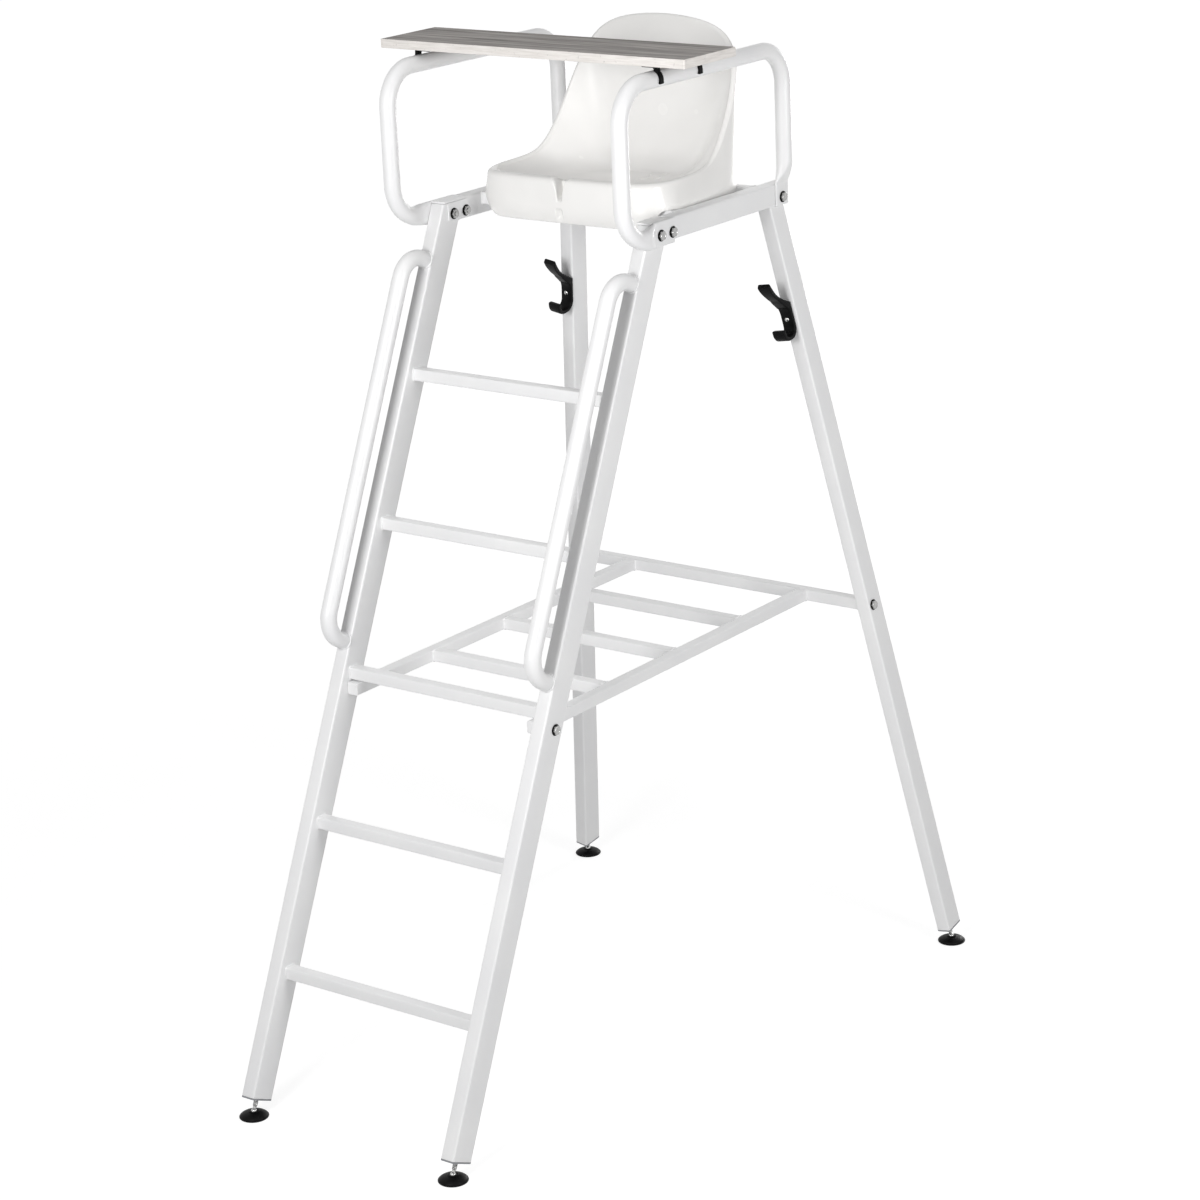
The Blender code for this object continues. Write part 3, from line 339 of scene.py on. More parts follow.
def leg_frame(ball, top, turn=0.0):
    """Placing matrix of a leg: origin at its foot's ball, x across, y to the rear, z up the tube."""
    along = (Vector(top) - Vector(ball)).normalized()
    across = Vector((cos(turn), sin(turn), 0.0))
    across = (across - along * across.dot(along)).normalized()
    return placed(ball, across, along.cross(across), along)


def level_cut(matrix, height):
    """How far up a leg a level cut lies, as a function of its section."""
    slope_x, slope_y, slope_z, foot = matrix[2]
    return lambda x, y: (height - foot - x * slope_x - y * slope_y) / slope_z


def leg_mesh(matrix, depth, top_height):
    """Rectangular tube from just above its foot to a level saw cut."""
    rings = tube_rings(LEG_WIDTH, depth, LEG_CORNER, lambda x, y: FOOT_REACH, level_cut(matrix, top_height))
    return moved(loft(rings), matrix)


front_legs = {}
plate_foot = FRAME_TOP - TOP_PLATE
leg_top = plate_foot - TOP_PLATE_GAP
plate_steps = ((TOP_PLATE_SET_IN, 0.0, leg_top),
               (TOP_PLATE_SET_IN, 0.0, plate_foot),
               (TOP_PLATE_EDGE, TOP_PLATE_OVERHANG, plate_foot),
               (0.0, TOP_PLATE_OVERHANG, plate_foot + TOP_PLATE_EDGE),
               (0.0, TOP_PLATE_OVERHANG, FRAME_TOP - TOP_PLATE_EDGE),
               (TOP_PLATE_EDGE, TOP_PLATE_OVERHANG, FRAME_TOP))
for word, side in SIDES:
    foot = (side * LEG_X, -FOOT_Y, BALL_HEIGHT)
    front_legs[side] = leg_frame(foot, (side * LEG_X, FRONT_TOP_Y, FRAME_TOP))
    saw_cut = LADDER_LEG_DEPTH / front_legs[side][2][2]
    rings = []
    for inset, overhang, height in plate_steps:
        growth = overhang - 2 * inset
        centre = (side * (LEG_X - overhang / 2), FRONT_TOP_Y - overhang / 2)
        rings.append(plan_ring(LEG_WIDTH + growth, saw_cut + growth, LEG_CORNER / 2, height, centre))
    mesh = joined([leg_mesh(front_legs[side], LADDER_LEG_DEPTH, leg_top), loft(rings)])
    coated(f"ladder_leg_{word}", mesh, f"front_leg_{word}")


# Rungs: five 25 mm square steel tubes laid level between the ladder legs, 280 mm apart, and welded all
# round at both ends.
def geometry_tree(name, inputs):
    """An empty geometry tree and the sockets of its named inputs."""
    tree = bpy.data.node_groups.new(name, "GeometryNodeTree")
    tree.interface.new_socket("Geometry", in_out="INPUT", socket_type="NodeSocketGeometry")
    for label, kind in inputs.items():
        tree.interface.new_socket(label, in_out="INPUT", socket_type="NodeSocket" + kind)
    tree.interface.new_socket("Geometry", in_out="OUTPUT", socket_type="NodeSocketGeometry")
    return tree, add_node(tree, "NodeGroupInput").outputs


def geo(tree, kind, links=None, values=None, **settings):
    """First output of a new geometry node."""
    return add_node(tree, "GeometryNode" + kind, settings, values, links).outputs[0]


def close_tree(geometry, finish):
    """The tail of each tree: real geometry with its finish."""
    tree = geometry.id_data
    real = geo(tree, "RealizeInstances", {"Geometry": geometry})
    painted = geo(tree, "SetMaterial", {"Geometry": real, "Material": finish})
    add_node(tree, "NodeGroupOutput", links={0: painted})


def grown(tree, mesh, values):
    """Plain mesh that a geometry tree makes of a mesh with the given input values."""
    item = show(bpy.data.objects.new("growing", mesh))
    step = item.modifiers.new("grow", "NODES")
    step.node_group = tree
    for socket in tree.interface.items_tree:
        if socket.in_out == "INPUT" and socket.name in values:
            step[socket.identifier] = values[socket.name]
    shape = item.evaluated_get(bpy.context.evaluated_depsgraph_get())
    result = bpy.data.meshes.new_from_object(shape)
    bpy.data.objects.remove(item, do_unlink=True)
    return result


BEAD_RADIUS = 0.0022
BEAD_STEP = 0.0045
BEAD_SWELL = 0.14
BEAD_FINENESS = 0.0011
BEAD_SIDES = 10

# Weld bead along a path: a round bead whose radius swells with each pass of the torch
bead_tree, ends = geometry_tree("weld_bead", {"Radius": "Float", "Step": "Float", "Swell": "Float",
                                              "Finish": "Material"})
path = geo(bead_tree, "MeshToCurve", {"Mesh": ends["Geometry"]})
fine = geo(bead_tree, "ResampleCurve", {"Curve": path}, {"Length": BEAD_FINENESS}, mode="LENGTH")
run = add_node(bead_tree, "GeometryNodeSplineParameter").outputs["Length"]
phase = arithmetic("MULTIPLY", arithmetic("DIVIDE", run, ends["Step"]), 2 * pi)
swell = arithmetic("MULTIPLY", arithmetic("SINE", phase), ends["Swell"])
thick = arithmetic("MULTIPLY_ADD", swell, ends["Radius"], ends["Radius"])
ring = geo(bead_tree, "CurvePrimitiveCircle", values={"Resolution": BEAD_SIDES, "Radius": 1.0})
swept = geo(bead_tree, "CurveToMesh", {"Curve": fine, "Profile Curve": ring, "Scale": thick})
close_tree(swept, ends["Finish"])


def weld(name, loops, radius=BEAD_RADIUS):
    """Beads along closed loops of points, as one piece on the frame."""
    points = []
    edges = []
    for loop in loops:
        first = len(points)
        points += loop
        edges += [(first + i, first + (i + 1) % len(loop)) for i in range(len(loop))]
    lines = bpy.data.meshes.new("seams")
    lines.from_pydata([tuple(point) for point in points], edges, [])
    mesh = grown(bead_tree, lines, {"Radius": radius, "Step": BEAD_STEP, "Swell": BEAD_SWELL,
                                    "Finish": WHITE_COAT})
    return coated(name, mesh, crease=radians(70))


RUNG_COUNT = 5
RUNG_PITCH = 0.280
FIRST_RUNG = 0.275
SQUARE_TUBE = 0.025
SQUARE_CORNER = 0.003
CORNER_STEPS = 6
SEAM_STEPS = 3
INNER_X = LEG_X - LEG_WIDTH / 2
OUTER_X = LEG_X + LEG_WIDTH / 2
SEAT_GAP = 0.0003

# Ladder of bars: one square bar with round corners, copied up a slanting line
rung_tree, ends = geometry_tree("ladder_rungs", {
    "Count": "Int", "First": "Vector", "Pitch": "Vector", "Length": "Float", "Size": "Float",
    "Corner": "Float", "Finish": "Material"})
square = geo(rung_tree, "CurvePrimitiveQuadrilateral", {"Width": ends["Size"], "Height": ends["Size"]})
fillet = geo(rung_tree, "FilletCurve", {"Curve": square, "Radius": ends["Corner"]}, {"Count": CORNER_STEPS},
             mode="POLY")
near, far = [add_node(rung_tree, "ShaderNodeCombineXYZ",
                      links={"X": arithmetic("MULTIPLY", ends["Length"], share)}).outputs[0]
             for share in (-0.5, 0.5)]
axis = geo(rung_tree, "CurvePrimitiveLine", {"Start": near, "End": far})
bar = geo(rung_tree, "CurveToMesh", {"Curve": axis, "Profile Curve": fillet}, {"Fill Caps": True})
places = geo(rung_tree, "MeshLine", {"Count": ends["Count"], "Start Location": ends["First"],
                                     "Offset": ends["Pitch"]})
close_tree(geo(rung_tree, "InstanceOnPoints", {"Points": places, "Instance": bar}), ends["Finish"])


def ladder_y(height):
    """Where the ladder legs' axes stand at a height."""
    share = (height - BALL_HEIGHT) / (FRAME_TOP - BALL_HEIGHT)
    return -FOOT_Y + (FRONT_TOP_Y + FOOT_Y) * share


def square_seam(x, y, z, along_y=False):
    """Loop round the end of a square bar that runs along X, or along Y."""
    outline = rounded_rectangle(SQUARE_TUBE, SQUARE_TUBE, SQUARE_CORNER, SEAM_STEPS)
    if along_y:
        return [(x + a, y, z + b) for a, b in outline]
    return [(x, y + a, z + b) for a, b in outline]


slope = ladder_y(FIRST_RUNG + RUNG_PITCH) - ladder_y(FIRST_RUNG)
rungs = grown(rung_tree, bpy.data.meshes.new("no_mesh"), {
    "Count": RUNG_COUNT, "First": (0.0, ladder_y(FIRST_RUNG), FIRST_RUNG), "Pitch": (0.0, slope, RUNG_PITCH),
    "Length": 2 * (INNER_X - SEAT_GAP), "Size": SQUARE_TUBE, "Corner": SQUARE_CORNER, "Finish": WHITE_COAT})
coated("rungs", rungs, *[f"rung_{i + 1}" for i in range(RUNG_COUNT)])
seams = []
for index in range(RUNG_COUNT):
    height = FIRST_RUNG + index * RUNG_PITCH
    seams += [square_seam(side * INNER_X, ladder_y(height), height) for _, side in SIDES]
weld("rung_welds", seams)


# Handrails: round 33.7 mm steel tube, bent at both ends and welded end-on to the front of the ladder
# legs, a hand's breadth in front of them.
def sweep(path, radius, sides=36):
    """Round tube along points of a path in a plane square to X; each section stands square to the path."""
    rings = []
    for i, point in enumerate(path):
        heading = (path[min(i + 1, len(path) - 1)] - path[max(i - 1, 0)]).normalized()
        other = heading.cross(X_AXIS)
        turns = [2 * pi * k / sides for k in range(sides)]
        rings.append([point + X_AXIS * (radius * cos(t)) + other * (radius * sin(t)) for t in turns])
    return loft(rings)


def arc(centre, radius, start, end, steps):
    """Points on an arc in a plane, both ends included."""
    turns = [start + (end - start) * i / steps for i in range(steps + 1)]
    return [(centre[0] + radius * cos(t), centre[1] + radius * sin(t)) for t in turns]


X_AXIS = Vector((1.0, 0.0, 0.0))
ROUND_TUBE = 0.0337
HANDRAIL_STANDOFF = 0.065
HANDRAIL_START = 0.959
HANDRAIL_LENGTH = 0.783
HANDRAIL_BEND = 0.052
HANDRAIL_BEAD = 0.0024
BEND_STEPS = 18
SEAM_INSET = 0.0005
SEAM_POINTS = 40
face = -LADDER_LEG_DEPTH / 2 - SEAT_GAP
bend_y = face - HANDRAIL_STANDOFF + HANDRAIL_BEND
low = HANDRAIL_START
high = HANDRAIL_START + HANDRAIL_LENGTH
line = [(face, low)]
line += arc((bend_y, low + HANDRAIL_BEND), HANDRAIL_BEND, -pi / 2, -pi, BEND_STEPS)
line += arc((bend_y, high - HANDRAIL_BEND), HANDRAIL_BEND, -pi, -1.5 * pi, BEND_STEPS)
line += [(face, high)]
reach = LEG_WIDTH / 2 - SEAM_INSET
seams = []
for word, side in SIDES:
    mesh = sweep([Vector((0.0, y, z)) for y, z in line], ROUND_TUBE / 2)
    coated(f"handrail_tube_{word}", moved(mesh, front_legs[side]), f"handrail_{word}")
    for end in (low, high):
        circle = arc((0.0, end), ROUND_TUBE / 2, 0.0, 2 * pi, SEAM_POINTS)[:-1]
        seams.append([front_legs[side] @ Vector((min(max(a, -reach), reach), face, b)) for a, b in circle])
weld("handrail_welds", seams, HANDRAIL_BEAD)


# Rear legs: 32 x 52 mm steel tube, splayed back and out and turned a little on its own axis, sawn level
# under the rails of the seat frame and welded to them.
REAR_FOOT_X = 0.499
REAR_TOP_INSET = 0.004
REAR_TOP_X = LEG_X - REAR_TOP_INSET
REAR_TOP_Y = 0.449
REAR_LEG_DEPTH = 0.052
REAR_LEG_TURN = radians(3)
RAIL_HEIGHT = 0.045
RAIL_BOTTOM = FRAME_TOP - RAIL_HEIGHT
rear_top = RAIL_BOTTOM - SEAT_GAP
rear_legs = {}
seams = []
for word, side in SIDES:
    foot = (side * REAR_FOOT_X, FOOT_Y, BALL_HEIGHT)
    matrix = leg_frame(foot, (side * REAR_TOP_X, REAR_TOP_Y, rear_top), side * REAR_LEG_TURN)
    rear_legs[side] = matrix
    coated(f"splayed_leg_{word}", leg_mesh(matrix, REAR_LEG_DEPTH, rear_top), f"rear_leg_{word}")
    cut = level_cut(matrix, RAIL_BOTTOM)
    outline = rounded_rectangle(LEG_WIDTH, REAR_LEG_DEPTH, LEG_CORNER, SEAM_STEPS)
    seams.append([matrix @ Vector((x, y, cut(x, y))) for x, y in outline])
weld("rear_leg_welds", seams)


# Levelling feet: a grey plug in the foot of each leg takes a bright threaded spindle whose ball end sits
# in a black swivel pad, so that each leg can be set level on the court.
def circle_ring(radius, height, sides=48):
    """Points of a circle round Z at a height."""
    turns = [2 * pi * k / sides for k in range(sides)]
    return [(radius * cos(t), radius * sin(t), height) for t in turns]


def turned(profile, sides=56):
    """Body of revolution about Z from (radius, height) points; a zero radius closes it."""
    return loft([circle_ring(max(radius, 1e-7), height, sides) for radius, height in profile])


def quadratic(start, control, end, steps):
    """Points of a quadratic curve, without its first point."""
    points = []
    for i in range(1, steps + 1):
        t = i / steps
        u = 1 - t
        points.append(tuple(u * u * a + 2 * u * t * b + t * t * c for a, b, c in zip(start, control, end)))
    return points


# Polyamide plug: moulded, matt and slightly grainy
GREY_PLASTIC, place = new_finish("grey_moulded_polyamide")
grain = noise(place, per_mm(1.2), 3.0)
surface({}, ramp(grain, "85878B", "989A9E"), spread(grain, 0.5, 0.68),
        Normal=bump(grain, 0.15, 0.0003))

# Black polyamide: moulded with a fine spark-eroded grain that shades itself, so little of the light comes
# back and its shine is broken
BLACK_PLASTIC, place = new_finish("black_moulded_polyamide")
grain = noise(place, per_mm(0.9), 4.0)
smears = noise(place, per_mm(18), 3.0)
surface({"Specular IOR Level": 0.08}, ramp(smears, "050505", "0D0D0E"),
        spread(smears, 0.34, 0.54), Normal=bump(grain, 0.22, 0.0003))

# Zinc-plated steel: bright and a little cloudy, with fine turning marks
ZINC, place = new_finish("bright_zinc_plated_steel")
cloud = noise(place, per_mm(6), 4.0)
marks = noise(place, per_mm(0.8), 2.0)
surface({"Metallic": 1.0}, ramp(cloud, "8C8C8B", "C2C2C1"), spread(cloud, 0.16, 0.34),
        Normal=bump(marks, 0.12, 0.0001))

CAP_THICKNESS = 0.003
CAP_EDGE = 0.0007
SPINDLE_RADIUS = 0.005
SPINDLE_LENGTH = 0.090
SPINDLE_END = 0.004
SPINDLE_SIDES = 40
NECK_RADIUS = 0.0035
NECK_LENGTH = 0.010
BALL_RADIUS = 0.0065
THREAD_PITCH = 0.00175
THREAD_DEPTH = 0.0008
THREAD_STEPS = 28
THREAD_SIDES = 6
PAD_RADIUS = 0.030
PAD_EDGE = 0.004
PAD_EDGE_INSET = 0.0008
PAD_SOLE_INSET = 0.006
PAD_HUB_RADIUS = 0.0105
PAD_HUB_RISE = 0.002
PAD_LIP = 0.0008
HUB_SIDE = 0.0016
HUB_FOOT = 0.0021
HUB_FLARE = 0.0012
PAD_BULGE_RADIUS = 0.0216
PAD_BULGE_HEIGHT = 0.010388
PAD_SLOPE_STEPS = 9

# Thread: a ridge wound round the spindle's core
thread_tree, ends = geometry_tree("spindle_thread", {
    "Turns": "Float", "Radius": "Float", "Height": "Float", "Ridge": "Float", "Finish": "Material"})
helix = geo(thread_tree, "CurveSpiral",
            {"Rotations": ends["Turns"], "Start Radius": ends["Radius"], "End Radius": ends["Radius"],
             "Height": ends["Height"]}, {"Resolution": THREAD_STEPS})
ridge = geo(thread_tree, "CurvePrimitiveCircle", {"Radius": ends["Ridge"]}, {"Resolution": THREAD_SIDES})
wound = geo(thread_tree, "CurveToMesh", {"Curve": helix, "Profile Curve": ridge}, {"Fill Caps": True})
close_tree(wound, ends["Finish"])

core = SPINDLE_RADIUS - THREAD_DEPTH
shoulder = NECK_LENGTH + core - NECK_RADIUS
thread_length = SPINDLE_LENGTH - shoulder - SPINDLE_END
ball_exit = sqrt(BALL_RADIUS ** 2 - NECK_RADIUS ** 2)
spindle_profile = [(0.0, SPINDLE_LENGTH), (core, SPINDLE_LENGTH), (core, shoulder),
                   (NECK_RADIUS, NECK_LENGTH)]
spindle_profile += arc((0.0, 0.0), BALL_RADIUS, atan2(ball_exit, NECK_RADIUS), -pi / 2, 14)

ball_socket = BALL_RADIUS + SEAT_GAP
floor_z = -BALL_HEIGHT
mouth = atan2(PAD_HUB_RISE, sqrt(ball_socket ** 2 - PAD_HUB_RISE ** 2))
cup = arc((0.0, 0.0), ball_socket, -pi / 2, mouth, 12)
rim = PAD_HUB_RADIUS - PAD_LIP
pad_profile = cup[:-1] + [(cup[-1][0] + PAD_LIP, PAD_HUB_RISE), (rim, PAD_HUB_RISE)]
pad_profile += arc((rim, PAD_HUB_RISE - PAD_LIP), PAD_LIP, pi / 2, 0.0, 4)[1:]
pad_profile += [(PAD_HUB_RADIUS, PAD_HUB_RISE - HUB_SIDE),
                (PAD_HUB_RADIUS + HUB_FLARE, PAD_HUB_RISE - HUB_FOOT)]
pad_profile += quadratic(pad_profile[-1], (PAD_BULGE_RADIUS, floor_z + PAD_BULGE_HEIGHT),
                         (PAD_RADIUS - PAD_EDGE_INSET, floor_z + PAD_EDGE), PAD_SLOPE_STEPS)[:-1]
pad_profile += arc((PAD_RADIUS - PAD_EDGE / 2, floor_z + PAD_EDGE / 2), PAD_EDGE / 2, pi / 2, -pi / 2, 8)
pad_profile += [(PAD_RADIUS - PAD_SOLE_INSET, floor_z), (0.0, floor_z)]

cap_foot = FOOT_REACH - SEAT_GAP - CAP_THICKNESS
cap_steps = ((CAP_EDGE, cap_foot), (0.0, cap_foot + CAP_EDGE), (0.0, cap_foot + CAP_THICKNESS))
for end, legs, depth in (("front", front_legs, LADDER_LEG_DEPTH), ("rear", rear_legs, REAR_LEG_DEPTH)):
    for word, side in SIDES:
        matrix = legs[side]
        corner = f"{end}_{word}"
        plug = loft([plan_ring(LEG_WIDTH - 2 * inset, depth - 2 * inset, LEG_CORNER, height)
                     for inset, height in cap_steps])
        fit(f"foot_plug_{corner}", moved(plug, matrix), GREY_PLASTIC, "frame",
            [f"leg_cap_{corner}"])
        thread = grown(thread_tree, bpy.data.meshes.new("no_mesh"), {
            "Turns": thread_length / THREAD_PITCH, "Radius": core, "Height": thread_length,
            "Ridge": THREAD_DEPTH, "Finish": ZINC})
        moved(thread, Matrix.Translation((0.0, 0.0, shoulder)))
        spindle = joined([turned(spindle_profile, SPINDLE_SIDES), thread])
        fit(f"threaded_spindle_{corner}", moved(spindle, matrix), ZINC, f"spindle_{corner}",
            [f"foot_spindle_{corner}"])
        pad = moved(turned(pad_profile), Matrix.Translation(matrix.translation))
        fit(f"swivel_pad_{corner}", pad, BLACK_PLASTIC, f"pad_{corner}",
            [f"foot_pad_{corner}"], crease=radians(40))


# Seat frame: two 32 x 45 mm side rails that butt against the ladder legs and lie on the rear legs, with
# two 25 mm square cross rails between them, all welded; small plates back the bolts on the inside.
Y_AXIS = Vector((0.0, 1.0, 0.0))
Z_AXIS = Vector((0.0, 0.0, 1.0))
RAIL_REAR_Y = 0.482
RAIL_MIDDLE = FRAME_TOP - RAIL_HEIGHT / 2
CROSS_RAIL_DROP = 0.001
CROSS_RAIL_FRONT_Y = 0.1375
CROSS_RAIL_REAR_Y = 0.405
RAIL_BEAD = 0.0018
PLATE_CORNER = 0.003
PLATE_EDGE = 0.0005
ladder_lean = front_legs[1][2][2]
leg_back = (LADDER_LEG_DEPTH / 2 + SEAT_GAP) / ladder_lean


def front_cut(x, z):
    """Where a side rail ends against its ladder leg."""
    return ladder_y(RAIL_MIDDLE + z) + leg_back


def square_bar(start, end):
    """25 mm square tube between two points, along X or Y."""
    run = Vector(end) - Vector(start)
    axis = run.normalized()
    rings = tube_rings(SQUARE_TUBE, SQUARE_TUBE, SQUARE_CORNER, lambda x, y: 0.0, lambda x, y: run.length)
    return moved(loft(rings), placed(start, axis.cross(Z_AXIS), Z_AXIS, axis))


def slab(width, depth, corner, low, high, edge):
    """Rounded slab in plan, with its upper and lower edges broken."""
    steps = ((edge, low), (0.0, low + edge), (0.0, high - edge), (edge, high))
    return loft([plan_ring(width - 2 * inset, depth - 2 * inset, corner, height) for inset, height in steps])


rail_rings = tube_rings(LEG_WIDTH, RAIL_HEIGHT, LEG_CORNER, front_cut, lambda x, z: RAIL_REAR_Y)
rail_seam = rounded_rectangle(LEG_WIDTH - 2 * SEAM_INSET, RAIL_HEIGHT - 2 * SEAM_INSET, LEG_CORNER,
                              SEAM_STEPS)
seams = []
for word, side in SIDES:
    mesh = loft([[(side * LEG_X + x, y, RAIL_MIDDLE + z) for x, z, y in ring] for ring in rail_rings])
    coated(f"side_rail_{word}", mesh, f"seat_side_rail_{word}")
    seams.append([(side * LEG_X + x, front_cut(x, z), RAIL_MIDDLE + z) for x, z in rail_seam])

cross_z = FRAME_TOP - CROSS_RAIL_DROP - SQUARE_TUBE / 2
reach = INNER_X - SEAT_GAP
for word, y in (("front", CROSS_RAIL_FRONT_Y), ("rear", CROSS_RAIL_REAR_Y)):
    mesh = square_bar((-reach, y, cross_z), (reach, y, cross_z))
    coated(f"cross_rail_{word}", mesh, f"seat_cross_rail_{word}")
    seams += [square_seam(side * INNER_X, y, cross_z) for _, side in SIDES]
weld("seat_frame_welds", seams, RAIL_BEAD)

plate_faces = {}
for word, side in SIDES:
    lowest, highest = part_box(f"joint_plate_{word}")
    plate_faces[side] = lowest.x if side > 0 else highest.x
    size = highest - lowest
    mesh = slab(size.y, size.z, PLATE_CORNER, -size.x / 2, size.x / 2, PLATE_EDGE)
    upended = placed((lowest + highest) / 2, Y_AXIS, Z_AXIS, X_AXIS)
    coated(f"backing_plate_{word}", moved(mesh, upended), f"joint_plate_{word}")


# Armrests: 33.7 mm round tube bent to a loop, with both ends pressed flat in a die and bolted to the
# outside of the seat frame; the press leaves a hard crease where the tab begins.
def clamp(t):
    """A share held between 0 and 1."""
    return min(max(t, 0.0), 1.0)


def smooth(t):
    """A share that eases in and out between 0 and 1."""
    t = clamp(t)
    return t * t * (3 - 2 * t)


def flattened(half_height, half_thickness, sides=44):
    """Section of a tube that is round when its halves are equal and flattens to a stadium."""
    radius = min(half_height, half_thickness)
    stretch = max(half_height - radius, 0.0)
    points = []
    for i in range(sides):
        angle = 2 * pi * (i + 0.5) / sides
        shift = stretch if cos(angle) > 0 else -stretch
        points.append((radius * cos(angle) + shift, radius * sin(angle)))
    return points


ARM_RADIUS = ROUND_TUBE / 2
ARM_OVERHANG = 0.0065
ARM_RISE = 0.302
ARM_FRONT_Y = -0.104
ARM_REAR_Y = 0.458
ARM_BEND = 0.075
TAB_HEIGHT = 0.050
TAB_THICKNESS = 0.0046
TAB_LENGTH = 0.066
TAB_MORPH = 0.044
TAB_INNER_MORPH = 0.045
TAB_MORPH_STEPS = 16
TAB_CREASE = 1.5
TAB_MARGIN = 0.007
TAB_CLEAR = 0.0005
REAR_TAB_LENGTH = 0.048
REAR_TAB_WIDTH = 0.044
FRONT_BOLT_Y = 0.0285
BOLT_PITCH = 0.039
ARM_INNER_X = OUTER_X + SEAT_GAP
ARM_X = ARM_INNER_X + ARM_RADIUS - ARM_OVERHANG
ARM_BOTTOM = FRAME_TOP - TAB_HEIGHT / 2
ARM_TOP = ARM_BOTTOM + ARM_RISE
tab_end = FRONT_BOLT_Y + BOLT_PITCH + TAB_MARGIN
flat_from = tab_end - TAB_LENGTH
leg_clear = ladder_y(FRAME_TOP - TAB_HEIGHT) - LADDER_LEG_DEPTH / 2 / ladder_lean - TAB_CLEAR
tab_foot = RAIL_BOTTOM + TAB_CLEAR
flat_top = tab_foot + REAR_TAB_LENGTH
stations = []


def front_station(y, z, heading):
    """The inner side is flat where it passes the leg, the outer side only at the tab's crease."""
    inner = smooth(1 + (y - leg_clear) / TAB_INNER_MORPH)
    outer = clamp(1 + (y - flat_from) / TAB_MORPH) ** TAB_CREASE
    stations.append((y, z, heading, inner, outer, TAB_HEIGHT))


def plain_station(y, z, heading):
    """Round tube."""
    stations.append((y, z, heading, 0.0, 0.0, TAB_HEIGHT))


def rear_station(y, z, heading):
    """Both sides go flat towards the foot of the rear tab."""
    near = 1 - (z - flat_top) / TAB_MORPH
    stations.append((y, z, heading, smooth(near), clamp(near) ** TAB_CREASE, REAR_TAB_WIDTH))


def bend(add, centre, start, end):
    """Stations of one kind round a bend."""
    for i in range(BEND_STEPS + 1):
        turn = start + (end - start) * i / BEND_STEPS
        add(centre[0] + ARM_BEND * cos(turn), centre[1] + ARM_BEND * sin(turn), turn - pi / 2)


bend_y = ARM_FRONT_Y + ARM_BEND
front_station(tab_end, ARM_BOTTOM, pi)
front_station(tab_end - EDGE_BREAK, ARM_BOTTOM, pi)
for i in range(TAB_MORPH_STEPS):
    front_station(flat_from + (bend_y - flat_from) * i / TAB_MORPH_STEPS, ARM_BOTTOM, pi)
bend(front_station, (bend_y, ARM_BOTTOM + ARM_BEND), 1.5 * pi, pi)
bend(plain_station, (bend_y, ARM_TOP - ARM_BEND), pi, pi / 2)
bend(plain_station, (ARM_REAR_Y - ARM_BEND, ARM_TOP - ARM_BEND), pi / 2, 0.0)
for i in range(TAB_MORPH_STEPS + 1):
    rear_station(ARM_REAR_Y, flat_top + TAB_MORPH * (1 - i / TAB_MORPH_STEPS), -pi / 2)
rear_station(ARM_REAR_Y, tab_foot + EDGE_BREAK, -pi / 2)
rear_station(ARM_REAR_Y, tab_foot, -pi / 2)
for word, side in SIDES:
    rings = []
    for index, (y, z, heading, inner, outer, tab_width) in enumerate(stations):
        broken = EDGE_BREAK if index in (0, len(stations) - 1) else 0.0
        inner_x = ARM_INNER_X - ARM_OVERHANG * (1 - inner)
        outer_x = ARM_X + ARM_RADIUS + (ARM_INNER_X + TAB_THICKNESS - ARM_X - ARM_RADIUS) * outer
        half_height = ARM_RADIUS + (tab_width / 2 - ARM_RADIUS) * (inner + outer) / 2 - broken
        half_thickness = (outer_x - inner_x) / 2 - broken
        middle = (inner_x + outer_x) / 2
        normal = (cos(heading + pi / 2), sin(heading + pi / 2))
        rings.append([(side * (middle + v), y + normal[0] * u, z + normal[1] * u)
                      for u, v in flattened(half_height, half_thickness)])
    coated(f"armrest_loop_{word}", loft(rings), f"armrest_{word}", crease=radians(28))


# Bolts of the frame: zinc-plated hexagon bolts through the armrest tabs and the legs, with nuts on the
# inside; the shelf's bolts screw into its bars. A black washer ring under each head and nut is painted shade
# and reflection round it.
BOLT_RADIUS = 0.005
BOLT_HALF_FLATS = 0.0085
BOLT_HEAD = 0.0048
BOLT_SHANK = 0.004
BOLT_TIP = 0.002
BOLT_TIP_EDGE = (0.0007, 0.0006)
BOLT_DROP = 0.005
BOLT_Z = RAIL_MIDDLE - BOLT_DROP
HEAD_CHAMFER = 0.0011
HEAD_CROWN = 0.0004
HEAD_CUTS = (1.0812, 0.9894)
HEAD_DISH = 0.0003
HEAD_DISH_RADII = (0.00612, 0.00561)
NUT_HEIGHT = 0.005
NUT_CHAMFER = 0.0008
NUT_CUT = 1.0098
NUT_COUNTERSINK = 0.0004
WASHER_RADIUS = 0.0115
WASHER_THICKNESS = 0.0015
WASHER_FOOT_EDGE = 0.0003
WASHER_EDGE = 0.0004
CLOSING_RADIUS = 0.0004
SHELF_HEIGHT = 0.8065
SHELF_BAR_REACH = 0.009
SHELF_REAR_OFFSET = 0.010
SHELF_BOLT_INSET = 0.015


def hexagon_ring(height, cut=2.0, sides=48):
    """Points round a hexagon at a height, cut back to a circle of a share of its half flats."""
    points = []
    for k in range(sides):
        turn = 2 * pi * k / sides
        local = (turn + pi / 6) % (pi / 3) - pi / 6
        radius = BOLT_HALF_FLATS * min(1 / cos(local), cut)
        points.append((radius * cos(turn), radius * sin(turn), height))
    return points


